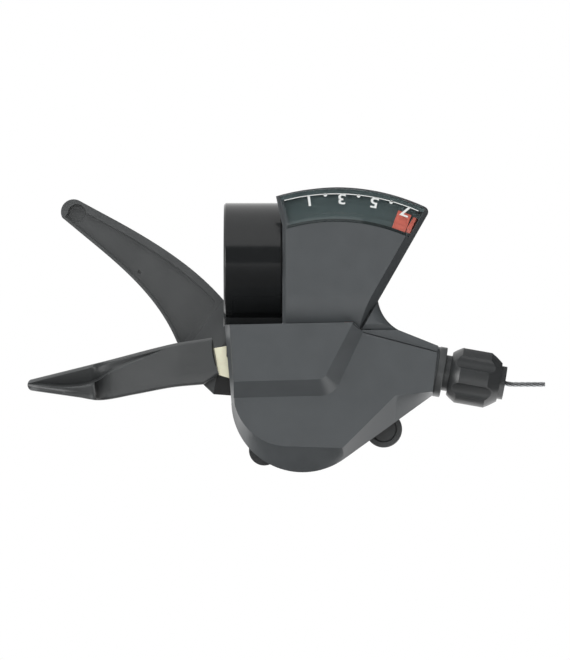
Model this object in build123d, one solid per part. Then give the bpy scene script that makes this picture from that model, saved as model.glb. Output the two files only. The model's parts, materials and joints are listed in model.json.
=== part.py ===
from build123d import *
import os
from math import asin, atan2, cos, degrees, hypot, radians, sin, tan

# A seven-speed trigger shifter for the right end of a flat handlebar, in millimetres.
# The bar runs along X through the origin, the cover faces -Y and +Z points to the rider.
# Points in the front view are (x, z) pairs, and angles there turn from +X towards +Z.

# Handlebar clamp
BAR_R = 11.1
BAR_CLEARANCE = 0.05
BAND_WALL = 3.0
BAND_WIDTH = 14.14
BAND_EDGE = 0.45
SPLIT_GAP = 2.0
EAR_THICK = 5.0
EAR_WIDTH = 11.0
BOLT_STANDOFF = 3.4
BOLT_R = 2.5
BOLT_HEAD_R = 4.2
BOLT_HEAD_HEIGHT = 4.6
BOLT_HOLE_GAP = 0.2
NUT_FLATS = 8.0
NUT_THICK = 4.0
NUT_POCKET = 2.2
SOCKET_FLATS = 4.0
SOCKET_DEPTH = 2.6
FOOT_WIDTH = 9.6
FOOT_CENTRE_X = 2.2
FOOT_THICK = 3.5
FOOT_DROP = 6.8
SADDLE_DROP = 1.6
SADDLE_FRONT = -4.0

# Axes in the front view
MAIN_AXIS = (11.9, -33.6)
DIAL_AXIS = (19.9, -33.1)

# Depth stack, from the plane of the cable towards the front and the back
CABLE_Y = -9.2
DRUM_WIDTH = 6.4
RATCHET_THICK = 2.4
RELEASE_PLATE_THICK = 1.5
MAIN_PLATE_THICK = 2.0
PLATE_GAP = 0.5
RUN_GAP = 0.1
SPRING_ROOM = 5.6
BASE_PLATE_THICK = 2.0
TUB_FLOOR = 2.1
AXLE_HEAD_THICK = 1.0
NEEDLE_GAP = 0.3
NEEDLE_THICK = 1.2
COVER_WALL = 1.7
PANEL_RISE = 2.5
BEVEL_DEPTH = 4.0
PARTING_BEHIND_DRUM = 1.0
SEAM = 0.2

# Cover outline in the front view
COVER_LEFT = -6.8
COVER_TOP_LEFT_Z = -15.3
COVER_R = 17.1
LOWER_EDGE_ANGLE = 306.0
ARC_SPLIT_ANGLE = 255.0
PANEL_CORNER = (24.0, -14.65)
NECK_CORNER = (25.7, -17.05)
NECK_END_TOP = (44.1, -21.9)
NECK_END_LOW = (43.1, -32.2)
FACE_TOP_LEFT = (-5.6, -15.3)
FACE_LEFT = -4.4
FACE_LOW_LEFT_Z = -34.2
FACE_ARC_MID = (0.7, -41.9)
FACE_ARC_END = (8.6, -44.4)
FACE_LOW = (21.4, -44.8)
FACE_NECK = (34.1, -32.2)
FACE_NECK_END = (43.0, -31.3)
SIDE_WALL = 1.9
FACE_WALL = 1.0

# Raised panel on the cover
PANEL_LOW_LEFT = (-4.6, -28.9)
PANEL_LOW_RIGHT = (16.9, -28.3)
PANEL_ROUND_R = 2.2
PANEL_STEP = 3.9
PANEL_SIDE_STEP = 2.4

# Fan of the gear display
FAN_R = 50.7
FAN_LEFT = 7.0
FAN_REBATE = 0.8
FAN_REBATE_DEPTH = 4.5
FAN_EDGE = 2.0
FAN_EDGE_DEPTH = 3.0
FAN_LEFT_TOP = 5.5
FAN_LEAN_Z = 8.8
FAN_RIGHT_LOW = (30.0, -9.6)
FAN_RIGHT_ANGLE = 60.2
FAN_CORNER_R = 1.3
FAN_DEPTH = 6.0
FAN_WALL = 1.6
FAN_FRONT_WALL = 2.2
FAN_BACK_WALL = 1.2
FAN_BAR_GAP = 0.5
FAN_ROLL = 1.4
FAN_ROLL_HEIGHT = 7.0
NECK_FILLET_R = 9.67
NECK_SET_BACK = 1.6
NECK_ROUND_R = 2.6
NECK_TOP_LEFT = (35.0, -16.6)
NECK_TOP_RIGHT = (44.4, -20.35)

# Window and dial
WINDOW_BAND = 8.3
WINDOW_MARGIN = 0.35
WINDOW_THICK = 2.2
WINDOW_PROUD = 0.9
WINDOW_FACET = 2.1
WINDOW_LEDGE = 0.9
WINDOW_FIT = 0.05
DIAL_PLATE_THICK = 0.5
DIAL_PLATE_INNER_R = 40.0

# Needle, which the drum turns through a crank pin
GEARS = 7
CLICK_DEG = 360.0 / 27.0
NEEDLE_SWEEP = 28.0
FLAG_ANGLE = 69.7
FLAG_RIM = 3.1
FLAG_LENGTH = 6.0
FLAG_WIDTH = 3.4
ARM_ANGLE = 80.0
ARM_BEND_R = 27.0
ARM_WIDTH = 2.4
NEEDLE_HUB_R = 3.0
NEEDLE_BOSS_R = 1.5
NEEDLE_SCREW_R = 0.8
NEEDLE_SCREW_HEAD_R = 2.3
NEEDLE_SCREW_HEAD = 0.7
CRANK_PIN_R = 0.6
CRANK_SLOT_GAP = 0.15
CRANK_SLOT_WALL = 1.1

# Axle, bush, washer and nut
AXLE_R = 2.5
AXLE_HEAD_R = 3.2
AXLE_RUN = 0.1
BUSH_WALL = 1.5
WASHER_R = 5.0
WASHER_THICK = 0.8
AXLE_NUT_THICK = 3.4
AXLE_TAIL = 0.8

# Cable, drum and ratchet
CABLE_R = 0.6
CABLE_GAP = 0.12
CABLE_ANGLE = 80.0
DRUM_CABLE_R = 12.6
DRUM_LIP = 1.0
HEAD_ANGLE = 126.0
CABLE_HEAD_R = 2.0
CABLE_HEAD_LENGTH = 4.0
CABLE_BEND = 48.2
CABLE_BEND_R = 6.0
CABLE_TAIL = 7.6
SPRING_CAVITY_R = 7.8
DRUM_FRONT_WALL = 1.6
DRUM_PEGS = 3
DRUM_PEG_R = 0.6
RATCHET_TIP_R = 10.8
RATCHET_ROOT_R = 9.7
HOLD_FACE_ANGLE = 312.6
DRIVE_FACE_ANGLE = 62.4
STRIP_THICK = 0.4
STRIP_TURNS = 2
STRIP_TANG = 1.0

# Hold pawl and the release plate's tab that lifts it
HOLD_PIVOT_R = 15.5
HOLD_PIVOT_ANGLE = 352.0
PAWL_SIDE_GAP = 0.2
PAWL_TIP_GAP = 0.18
PAWL_EYE_R = 2.4
HOLD_POST_R = 1.7
PAWL_PIN_R = 1.2
PAWL_PIN_GAP = 0.08
TAB_R = 0.7
TAB_REACH_R = 11.9
TAB_ANGLE = 327.0
TAB_GAP = 0.2
RELEASE_TRAVEL = 9.0
HOLD_LIFT_RATIO = 0.5
HOLD_HEEL_R = 13.7
HOLD_HEEL_LIP = 1.0
HOLD_NOSE_BACK = 1.0
HOLD_NOSE_TURN = 4.0
HOLD_HEEL_TURN = 6.0
HOLD_TAIL_TURN = 8.0
HOLD_EYE_OUT = 285.0
HOLD_EYE_IN = 180.0

# Drive pawl, carried by the thumb lever
DRIVE_PIVOT_R = 14.0
DRIVE_PIVOT_ANGLE = 38.0
DRIVE_DROP = 12.0
DRIVE_EYE_R = 2.1
DRIVE_NOSE_BACK = 2.5
DRIVE_NOSE_TURN = 8.5
DRIVE_BACK_TURN = 1.5
DRIVE_BACK_RISE = 1.6
DRIVE_EYE_IN = 215.0
DRIVE_EYE_OUT = 95.0

# Levers
MAIN_ARM_ANGLE = 143.0
MAIN_PLATE_TOP = 141.5
MAIN_PLATE_LOW = 176.0
MAIN_PLATE_R = 21.5
MAIN_HUB_R = 7.0
LEVER_SLOT_START = 127.0
LEVER_SLOT_END = 223.0
MAIN_ARM_Y = 12.2
MAIN_ARM_THICK = 3.0
MAIN_TONGUE = 1.5
MAIN_TONGUE_R = 17.8
MAIN_RAMP_START = 23.5
MAIN_RAMP_END = 30.0
MAIN_RING_TOP_Z = -9.4
MAIN_SHOULDER = (-6.4, -15.7)
MAIN_UPPER_EDGE = ((-11.8, -4.6), (-27.1, 6.5), (-42.5, 15.0))
MAIN_TIP = (-46.1, 14.3)
MAIN_LOWER_EDGE = ((-46.6, 10.8), (-36.7, 2.6), (-28.0, -5.5), (-18.7, -19.4))
MAIN_HEEL = (-12.0, -29.8)
TRAY_RIM = 0.7
TRAY_RIB = 1.8
TRAY_RIB_ANGLE = 237.5
TRAY_DEPTH = 1.2
TRAY_START = 31.5
TRAY_END = 73.0
TIP_POCKET = (-43.0, 11.9)
TIP_POCKET_R = 2.2
TIP_POCKET_DEPTH = 0.8
LEVER_HOLE = (-27.84, -2.4)
LEVER_HOLE_R = 0.45
RELEASE_HUB_R = 6.0
RELEASE_PLATE_TOP = 150.0
RELEASE_PLATE_LOW = 163.0
RELEASE_PLATE_R = 22.0
RELEASE_TONGUE = ((-6.4, -20.4), (-13.0, -21.6), (-13.5, -27.0), (-6.4, -27.3))
RELEASE_FACE = (
    (-54.3, -7.6),
    (-52.0, -8.6),
    (-38.2, -9.9),
    (-36.8, -5.9),
    (-34.6, -5.9),
    (-33.6, -6.5),
    (-18.0, -6.7),
    (-6.0, -5.6),
)
DISH_RIDGE = (
    (-57.0, -29.3),
    (-47.5, -30.2),
    (-41.5, -30.0),
    (-37.4, -28.8),
    (-33.8, -26.4),
)
DISH_STRIP_END = (-17.0, -19.4)
DISH_FLOOR = -5.9
RELEASE_UPPER_EDGE = ((-53.2, -28.4), (-36.7, -24.3), (-19.4, -19.9), (-9.9, -18.4))
RELEASE_END_MID = (-9.7, -23.5)
RELEASE_END_LOW = (-8.2, -27.2)
RELEASE_LOWER_EDGE = (
    (-12.0, -29.7),
    (-19.4, -30.4),
    (-28.5, -32.1),
    (-36.7, -33.5),
    (-42.0, -32.8),
    (-53.2, -31.2),
)
RELEASE_TIP = (-54.3, -29.7)

# Wire spring that brings the thumb lever back
COIL_GAP = 0.8
COIL_WIRE = 0.8
COIL_DEPTH = 1.2
PAWL_WIRE = 0.4
SPRING_PEG_R = 0.45
HOLD_PEG_REACH = 3.8
HOLD_PEG_ANGLE = 241.4
HOLD_ANCHOR = 1
HOLD_LEG_SIDE = 0.5
HOLD_LEG_REACH = 6.0
DRIVE_STEM_R = 1.5
DRIVE_PEG_REACH = 3.4
DRIVE_PEG_ANGLE = 163.0

# Tub, bosses and screws
TUB_WALL = 1.8
TUB_INSET = 0.3
TUB_LEFT = -5.3
TUB_RIGHT = 35.5
SMALL_BOSS = (2.64, -45.6)
SMALL_BOSS_R = 3.67
PLUG = (31.5, -40.5)
PLUG_BOSS_R = 4.44
PLUG_R = 3.5
PLUG_RIM = 0.9
PLUG_LENGTH = 6.0
BOSS_FRONT_GAP = 0.3
POST_R = 1.7
SCREW_R = 1.0
SCREW_GAP = 0.1
SCREW_HEAD_R = 2.2
SCREW_HEAD = 1.5
SCREW_GRIP = 5.0
COVER_POSTS = ((25.6, -20.2), (32.6, -33.8))
FOOT_SCREW_PITCH = 5.6
FOOT_SCREW_Z = -18.2

# Cable adjuster, with distances measured along the cable from the drum
BOSS_START = 20.0
BOSS_END = 30.4
BOSS_R = 5.9
COLLAR_R = 6.05
COLLAR_FLANGE = 1.8
COLLAR_TUBE_R = 5.1
COLLAR_DEPTH = 4.4
SLEEVE_R = 4.3
SLEEVE_GAP = 0.12
SLEEVE_SHOW = 1.5
SLEEVE_DEPTH = 5.0
STEM_R = 2.5
STEM_GAP = 0.1
STEM_START = 21.0
KNOB_R = 6.9
KNOB_LENGTH = 13.4
KNOB_REAR_R = 5.2
KNOB_NOSE_R = 4.7
KNOB_RING_R = 4.0
KNOB_RING_LENGTH = 1.3
KNOB_REAR_TAPER = 2.2
KNOB_NOSE_TAPER = 4.2
KNOB_LOBES = 6
KNOB_FLUTE_R = 2.4
KNOB_FLUTE_DEPTH = 1.0
CASING_R = 2.55
CASING_DEPTH = 7.0
WIRE_HOLE_R = 0.9
KEY_WIDTH = 1.2
KEY_RISE = 0.5

# Places worked out from the driving sizes
BORE_R = BAR_R + BAR_CLEARANCE
BAND_R = BORE_R + BAND_WALL
BOLT_Y = BAND_R + BOLT_STANDOFF
DRUM_FRONT = CABLE_Y - DRUM_WIDTH / 2
DRUM_BACK = CABLE_Y + DRUM_WIDTH / 2
SPRING_FRONT = DRUM_FRONT + DRUM_FRONT_WALL
RATCHET_BACK = DRUM_BACK + RATCHET_THICK
RELEASE_FRONT = RATCHET_BACK + PLATE_GAP
RELEASE_BACK = RELEASE_FRONT + RELEASE_PLATE_THICK
MAIN_FRONT = RELEASE_BACK + PLATE_GAP
MAIN_BACK = MAIN_FRONT + MAIN_PLATE_THICK
TONGUE_BACK = MAIN_BACK + MAIN_TONGUE
COIL_FRONT = MAIN_BACK + PLATE_GAP
COIL_BACK = COIL_FRONT + COIL_DEPTH
BASE_FRONT = MAIN_BACK + SPRING_ROOM
BASE_BACK = BASE_FRONT + BASE_PLATE_THICK
TUB_BACK = BASE_BACK + TUB_FLOOR
AXLE_HEAD_BACK = DRUM_FRONT - RUN_GAP
AXLE_HEAD_FRONT = AXLE_HEAD_BACK - AXLE_HEAD_THICK
NEEDLE_BACK = AXLE_HEAD_FRONT - NEEDLE_GAP
NEEDLE_FRONT = NEEDLE_BACK - NEEDLE_THICK
COVER_INSIDE = NEEDLE_FRONT - NEEDLE_GAP
COVER_FACE = COVER_INSIDE - COVER_WALL
PANEL_FACE = COVER_FACE - PANEL_RISE
COVER_RIM = COVER_FACE + BEVEL_DEPTH
PARTING = DRUM_BACK + PARTING_BEHIND_DRUM
TOP_WALL_FRONT = NEEDLE_BACK + 2 * NEEDLE_GAP
FAN_BACK = -(BAR_R + FAN_BAR_GAP)
FAN_FRONT = FAN_BACK - FAN_DEPTH
FAN_INSIDE = FAN_FRONT + FAN_FRONT_WALL
NECK_FRONT = FAN_FRONT + NECK_SET_BACK
FAN_FLOOR = FAN_BACK - FAN_BACK_WALL
PAWL_FRONT = DRUM_BACK + PAWL_SIDE_GAP
PAWL_BACK = RATCHET_BACK - PAWL_SIDE_GAP
HOLD_SPRING_BACK = PAWL_FRONT - RUN_GAP
HOLD_SPRING_FRONT = HOLD_SPRING_BACK - PAWL_WIRE
DRIVE_SPRING_FRONT = RATCHET_BACK + RUN_GAP
DRIVE_SPRING_BACK = DRIVE_SPRING_FRONT + PAWL_WIRE
BOSS_FRONT = RATCHET_BACK + BOSS_FRONT_GAP
PLUG_FRONT = PAWL_BACK + NEEDLE_GAP
PLUG_SEAT = PLUG_FRONT + PLUG_RIM
BUSH_R = AXLE_R + BUSH_WALL
FLANGE_R = DRUM_CABLE_R + DRUM_LIP
DRUM_SWEEP = (GEARS - 1) * CLICK_DEG
AXIS_DISTANCE = hypot(DIAL_AXIS[0] - MAIN_AXIS[0], DIAL_AXIS[1] - MAIN_AXIS[1])
AXIS_ANGLE = degrees(atan2(DIAL_AXIS[1] - MAIN_AXIS[1], DIAL_AXIS[0] - MAIN_AXIS[0]))
HALF_SWEEP = radians(DRUM_SWEEP / 2)
HALF_NEEDLE = tan(radians(NEEDLE_SWEEP / 2))
CRANK_R = HALF_NEEDLE * AXIS_DISTANCE / (sin(HALF_SWEEP) - HALF_NEEDLE * cos(HALF_SWEEP))
CRANK_ANGLE = AXIS_ANGLE + 180 - DRUM_SWEEP / 2
WINDOW_INNER_R = FAN_R - WINDOW_BAND
FLAG_INNER_R = FAN_R - FLAG_RIM - FLAG_LENGTH
LARGE = 200.0


def polar(centre, radius, angle):
    """A point of the front view, by its distance and angle from a centre."""
    return (centre[0] + radius * cos(radians(angle)), centre[1] + radius * sin(radians(angle)))


def turned(point, centre, angle):
    """A point of the front view turned about a centre."""
    dx = point[0] - centre[0]
    dz = point[1] - centre[1]
    return polar(centre, hypot(dx, dz), degrees(atan2(dz, dx)) + angle)


def slab(sketch, front, back):
    """A front view outline given thickness from one depth to another."""
    return extrude(Plane.XZ.offset(-back) * sketch, back - front)


def disc(centre, radius, front, back):
    return slab(Pos(*centre) * Circle(radius), front, back)


def tube(centre, outer, inner, front, back):
    return slab(Pos(*centre) * (Circle(outer) - Circle(inner)), front, back)


def polygon(*points):
    return make_face(Polyline(*points, close=True))


def sector(centre, start, end, radius):
    """A pie slice of the front view."""
    middle = polar(centre, radius, (start + end) / 2)
    first = polar(centre, radius, start)
    last = polar(centre, radius, end)
    return make_face([Line(centre, first), ThreePointArc(first, middle, last), Line(last, centre)])


def strip(first, last, width):
    """A straight bar of the front view with round ends."""
    length = hypot(last[0] - first[0], last[1] - first[1])
    angle = degrees(atan2(last[1] - first[1], last[0] - first[0]))
    middle = ((first[0] + last[0]) / 2, (first[1] + last[1]) / 2)
    return Pos(*middle) * Rot(0, 0, angle) * SlotCenterToCenter(length, width)


DRUM_EXIT = polar(MAIN_AXIS, DRUM_CABLE_R, CABLE_ANGLE)
CABLE_DIR = (sin(radians(CABLE_ANGLE)), 0, -cos(radians(CABLE_ANGLE)))
HOLD_PIVOT = polar(MAIN_AXIS, HOLD_PIVOT_R, HOLD_PIVOT_ANGLE)
DRIVE_PIVOT = polar(MAIN_AXIS, DRIVE_PIVOT_R, DRIVE_PIVOT_ANGLE)
HOLD_PEG = polar(HOLD_PIVOT, HOLD_PEG_REACH, HOLD_PEG_ANGLE)
DRIVE_PAWL_PEG = polar(DRIVE_PIVOT, DRIVE_PEG_REACH, DRIVE_PEG_ANGLE)
DRIVE_PLATE_PEG = polar(DRIVE_PIVOT, DRIVE_PEG_REACH, DRIVE_PIVOT_ANGLE + 180)
CRANK_PIN = polar(MAIN_AXIS, CRANK_R, CRANK_ANGLE)
CABLE_LINE = Plane(origin=(DRUM_EXIT[0], CABLE_Y, DRUM_EXIT[1]), x_dir=(0, 1, 0), z_dir=CABLE_DIR)
COLLAR_FACE = BOSS_END + COLLAR_FLANGE
KNOB_START = COLLAR_FACE + SLEEVE_SHOW
KNOB_END = KNOB_START + KNOB_LENGTH
FOOT_SCREWS = [(FOOT_CENTRE_X + side * FOOT_SCREW_PITCH / 2, FOOT_SCREW_Z) for side in (-1, 1)]
SCREW_POINTS = [SMALL_BOSS, *COVER_POSTS]


def along_cable(radius, start, end):
    """A round bar on the cable's line."""
    bar = Cylinder(radius, end - start, align=(Align.CENTER, Align.CENTER, Align.MIN))
    return CABLE_LINE * Pos(0, 0, start) * bar


def cover_outline():
    """The silhouette of the cover, with the round end about the main axle."""
    top_left = (COVER_LEFT, COVER_TOP_LEFT_Z)
    left_low = polar(MAIN_AXIS, COVER_R, 180)
    left_mid = polar(MAIN_AXIS, COVER_R, (180 + ARC_SPLIT_ANGLE) / 2)
    split = polar(MAIN_AXIS, COVER_R, ARC_SPLIT_ANGLE)
    right_mid = polar(MAIN_AXIS, COVER_R, (ARC_SPLIT_ANGLE + LOWER_EDGE_ANGLE) / 2)
    low = polar(MAIN_AXIS, COVER_R, LOWER_EDGE_ANGLE)
    share = (FACE_NECK[0] - low[0]) / (NECK_END_LOW[0] - low[0])
    edge_mid = (FACE_NECK[0], low[1] + share * (NECK_END_LOW[1] - low[1]))
    return make_face([
        Line(top_left, left_low),
        ThreePointArc(left_low, left_mid, split),
        ThreePointArc(split, right_mid, low),
        Polyline(low, edge_mid, NECK_END_LOW, NECK_END_TOP, NECK_CORNER, PANEL_CORNER, top_left),
    ])


def face_outline():
    """The flat lower face of the cover, inside its bevel."""
    left_low = (FACE_LEFT, FACE_LOW_LEFT_Z)
    return make_face([
        Line(FACE_TOP_LEFT, left_low),
        ThreePointArc(left_low, FACE_ARC_MID, FACE_ARC_END),
        Polyline(FACE_ARC_END, FACE_LOW, FACE_NECK, FACE_NECK_END, NECK_END_TOP, NECK_CORNER, PANEL_CORNER,
                 FACE_TOP_LEFT),
    ])


def layered(low_face, low_y, high_face, high_y):
    """A solid between two outlines of the front view at two depths."""
    low = Plane.XZ.offset(-low_y) * low_face
    high = Plane.XZ.offset(-high_y) * high_face
    return loft([low.face(), high.face()], ruled=True)


def right_of(x):
    """The half of the front view to the right of a line."""
    return Pos(x, 0) * Rectangle(LARGE, LARGE, align=(Align.MIN, Align.CENTER))


def left_of(x):
    """The half of the front view to the left of a line."""
    return Pos(x, 0) * Rectangle(LARGE, LARGE, align=(Align.MAX, Align.CENTER))


def below(z):
    """The half of the front view below a line."""
    return Pos(0, z) * Rectangle(LARGE, LARGE, align=(Align.CENTER, Align.MAX))


def top_band(thick):
    """The strip of the cover's outline along its top edge."""
    return cover_outline() - Pos(0, -thick) * cover_outline()


def raised_panel():
    """The block that stands proud of the face, with a slope at its foot and at its right."""
    foot_right = (PANEL_LOW_RIGHT[0] + PANEL_SIDE_STEP, PANEL_LOW_RIGHT[1] - PANEL_STEP)
    corner_foot = (PANEL_CORNER[0] + PANEL_SIDE_STEP, PANEL_CORNER[1] - PANEL_SIDE_STEP)
    foot = polygon(
        FACE_TOP_LEFT,
        PANEL_CORNER,
        corner_foot,
        foot_right,
        (PANEL_LOW_LEFT[0], PANEL_LOW_LEFT[1] - PANEL_STEP),
    )
    corner_low = (PANEL_CORNER[0] - PANEL_SIDE_STEP / 8, PANEL_CORNER[1] - PANEL_SIDE_STEP / 4)
    top = polygon(FACE_TOP_LEFT, PANEL_CORNER, corner_low, PANEL_LOW_RIGHT, PANEL_LOW_LEFT)
    foot = fillet(nearest(foot, foot_right), PANEL_ROUND_R + PANEL_SIDE_STEP)
    top = fillet(nearest(top, PANEL_LOW_RIGHT), PANEL_ROUND_R)
    return layered(foot, COVER_FACE, top, PANEL_FACE)


def nearest(face, point):
    """The corner of an outline that lies at a point."""
    return face.vertices().sort_by_distance((point[0], point[1], 0))[0]


def make_front_cover():
    outline = cover_outline()
    shell = slab(outline, COVER_RIM, PARTING) + layered(outline, COVER_RIM, face_outline(), COVER_FACE)
    shell += raised_panel()
    cavity_front = DRUM_FRONT - NEEDLE_GAP
    shell -= slab(offset(outline, -SIDE_WALL, kind=Kind.INTERSECTION), cavity_front, PARTING)
    shell -= slab(offset(face_outline(), -FACE_WALL, kind=Kind.INTERSECTION), COVER_INSIDE, cavity_front)
    band = top_band(2 * SIDE_WALL)
    shell -= slab(band & right_of(COVER_LEFT + SIDE_WALL), TOP_WALL_FRONT - SEAM, PARTING)
    needle_rise = PANEL_CORNER[1] - DIAL_AXIS[1]
    slot_left = DIAL_AXIS[0] + needle_rise / tan(radians(ARM_ANGLE + NEEDLE_SWEEP)) - ARM_WIDTH
    shell -= slab(band & right_of(slot_left), COVER_INSIDE, PARTING)
    for post in COVER_POSTS:
        shell += disc(post, POST_R, COVER_INSIDE, PARTING)
    lug = Pos(*SMALL_BOSS) * Circle(SMALL_BOSS_R - SEAM) - Pos(*MAIN_AXIS) * Circle(FLANGE_R + NEEDLE_GAP)
    shell += slab(lug & outline, DRUM_FRONT, PARTING)
    for point in SCREW_POINTS:
        shell -= disc(point, SCREW_R, PARTING - SCREW_GRIP, PARTING)
    shell += disc(DIAL_AXIS, NEEDLE_BOSS_R, COVER_INSIDE, NEEDLE_BACK + RUN_GAP)
    shell -= disc(DIAL_AXIS, NEEDLE_SCREW_R, COVER_INSIDE, NEEDLE_BACK + RUN_GAP)
    shell -= along_cable(BOSS_R + SEAM, BOSS_START - SEAM, BOSS_END + SEAM)
    return shell


def fan_outline():
    """The fan and the neck in one outline, drawn down behind the cover's top edge."""
    lean = FAN_LEFT_TOP - DIAL_AXIS[0]
    top_left = (FAN_LEFT_TOP, DIAL_AXIS[1] + (FAN_R ** 2 - lean ** 2) ** 0.5)
    slope = tan(radians(FAN_RIGHT_ANGLE))
    corner = fan_corner(slope)
    arc_mid = polar(DIAL_AXIS, FAN_R, 90)
    fillet_mid = fan_fillet_middle()
    face = make_face([
        ThreePointArc(top_left, arc_mid, corner),
        Line(corner, FAN_RIGHT_LOW),
        ThreePointArc(FAN_RIGHT_LOW, fillet_mid, NECK_TOP_LEFT),
        Polyline(NECK_TOP_LEFT, NECK_TOP_RIGHT, NECK_END_TOP, (NECK_CORNER[0], NECK_CORNER[1] - SIDE_WALL),
                 (FAN_LEFT, NECK_CORNER[1]), (FAN_LEFT, FAN_LEAN_Z), top_left),
    ])
    rounded = [v for v in face.vertices() if hypot(v.X - corner[0], v.Y - corner[1]) < FAN_CORNER_R / 2]
    return fillet(rounded, FAN_CORNER_R)


def fan_corner(slope):
    """Where the fan's right edge meets its outer arc."""
    run = FAN_RIGHT_LOW[0] - DIAL_AXIS[0]
    rise = FAN_RIGHT_LOW[1] - DIAL_AXIS[1]
    a = 1 + slope ** 2
    b = run + slope * rise
    c = run ** 2 + rise ** 2 - FAN_R ** 2
    step = (-b + (b ** 2 - a * c) ** 0.5) / a
    return (FAN_RIGHT_LOW[0] + step, FAN_RIGHT_LOW[1] + slope * step)


def fan_fillet_middle():
    """The middle of the hollow curve from the fan to the neck."""
    chord = (NECK_TOP_LEFT[0] - FAN_RIGHT_LOW[0], NECK_TOP_LEFT[1] - FAN_RIGHT_LOW[1])
    half = hypot(*chord) / 2
    bulge = NECK_FILLET_R - (NECK_FILLET_R ** 2 - half ** 2) ** 0.5
    middle_x = (FAN_RIGHT_LOW[0] + NECK_TOP_LEFT[0]) / 2
    middle_z = (FAN_RIGHT_LOW[1] + NECK_TOP_LEFT[1]) / 2
    return (middle_x + bulge * chord[1] / (2 * half), middle_z - bulge * chord[0] / (2 * half))


def right_edge_plane():
    """The plane across the fan's right edge, with its x into the fan and its y towards the front."""
    angle = radians(FAN_RIGHT_ANGLE)
    return Plane(origin=(FAN_RIGHT_LOW[0], 0, FAN_RIGHT_LOW[1]), x_dir=(-sin(angle), 0, cos(angle)),
                 z_dir=(cos(angle), 0, sin(angle)))


def right_edge_cut():
    """The wedge that slopes the fan's right edge, from the cover's edge to the outer arc."""
    reach = FAN_EDGE_DEPTH + WINDOW_PROUD
    lift = FAN_EDGE * WINDOW_PROUD / FAN_EDGE_DEPTH
    front = WINDOW_PROUD - FAN_FRONT
    low = front - reach
    wedge = polygon((FAN_EDGE + lift, front), (0, low), (-FAN_EDGE, low), (-FAN_EDGE, front))
    return extrude(right_edge_plane() * wedge, LARGE / 2, both=True)


def beside_fan():
    """The part of the front view to the right of the fan's right edge."""
    half_plane = Rectangle(LARGE, LARGE, align=(Align.CENTER, Align.MAX))
    return Pos(*FAN_RIGHT_LOW) * Rot(0, 0, FAN_RIGHT_ANGLE) * half_plane


def left_rebate(width):
    """The strip along the fan's left edge that lies lower than its face."""
    return fan_outline() - Pos(width, 0) * fan_outline() & left_of(DIAL_AXIS[0])


def window_outline(gap):
    """The window's band below the fan's outer arc, inset by a gap."""
    band = Pos(*DIAL_AXIS) * (Circle(LARGE) - Circle(WINDOW_INNER_R + gap))
    inset = offset(fan_outline(), -(WINDOW_MARGIN + gap), kind=Kind.INTERSECTION)
    return (inset & band) - left_rebate(FAN_REBATE + gap)


def make_neck():
    """The rounded neck that leads from the fan to the cable adjuster."""
    outline = (fan_outline() & beside_fan()) - Pos(0, SEAM) * cover_outline()
    neck = slab(outline, NECK_FRONT, TOP_WALL_FRONT)
    curve = [edge for edge in neck.edges() if edge.geom_type == GeomType.CIRCLE]
    front_edges = [edge for edge in curve if abs(edge.center().Y - NECK_FRONT) < SEAM]
    return fillet(front_edges, NECK_ROUND_R)


def make_upper_housing():
    outline = fan_outline()
    fan = (outline - beside_fan()) - Pos(0, RUN_GAP) * cover_outline()
    shell = slab(fan, FAN_FRONT, TOP_WALL_FRONT) - right_edge_cut() + make_neck()
    shell += slab(outline, TOP_WALL_FRONT, FAN_BACK)
    shell -= fan_roll()
    shell -= slab(left_rebate(FAN_REBATE), FAN_FRONT, FAN_FRONT + FAN_REBATE_DEPTH)
    ring_side = left_of(BAND_WIDTH / 2) & below(FAN_LEAN_Z)
    shell -= slab(ring_side, -(BAND_R + SEAM), FAN_BACK)
    room = offset(outline, -FAN_WALL, kind=Kind.INTERSECTION)
    above_neck = Pos(0, FAN_RIGHT_LOW[1]) * Rectangle(LARGE, LARGE, align=(Align.CENTER, Align.MIN))
    room = room & (left_of(FAN_RIGHT_LOW[0] - FAN_WALL) + above_neck)
    opening = Pos(0, -SIDE_WALL) * room + room
    shell -= slab(opening, FAN_INSIDE, FAN_FLOOR)
    shell -= slab(window_outline(0), FAN_FRONT, FAN_FRONT + WINDOW_THICK - WINDOW_PROUD)
    shell -= slab(window_outline(WINDOW_LEDGE), FAN_FRONT, FAN_INSIDE)
    wall = top_band(SIDE_WALL) & right_of(COVER_LEFT + SIDE_WALL + SEAM)
    shell += slab(wall, TOP_WALL_FRONT, PARTING)
    shell += along_cable(BOSS_R, BOSS_START, BOSS_END)
    shell -= along_cable(STEM_R + STEM_GAP, BOSS_START, BOSS_END)
    shell -= along_cable(COLLAR_TUBE_R, BOSS_END - COLLAR_DEPTH, BOSS_END)
    for post in COVER_POSTS:
        shell -= disc(post, POST_R + SEAM, COVER_INSIDE, PARTING)
    return shell


def fan_roll():
    """What is cut off the foot of the fan's face, which rolls back under the cover's edge."""
    radius = (FAN_ROLL_HEIGHT ** 2 + FAN_ROLL ** 2) / (2 * FAN_ROLL)
    top = PANEL_CORNER[1] + FAN_ROLL_HEIGHT
    low = PANEL_CORNER[1] - SIDE_WALL
    depth = FAN_FRONT + radius - (radius ** 2 - (top - low) ** 2) ** 0.5
    half = (top + low) / 2
    half_depth = FAN_FRONT + radius - (radius ** 2 - (top - half) ** 2) ** 0.5
    profile = make_face([
        ThreePointArc((FAN_FRONT, top), (half_depth, half), (depth, low)),
        Polyline((depth, low), (FAN_FRONT, low), (FAN_FRONT, top)),
    ])
    return extrude(Plane.YZ * profile, LARGE, both=True)


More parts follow.
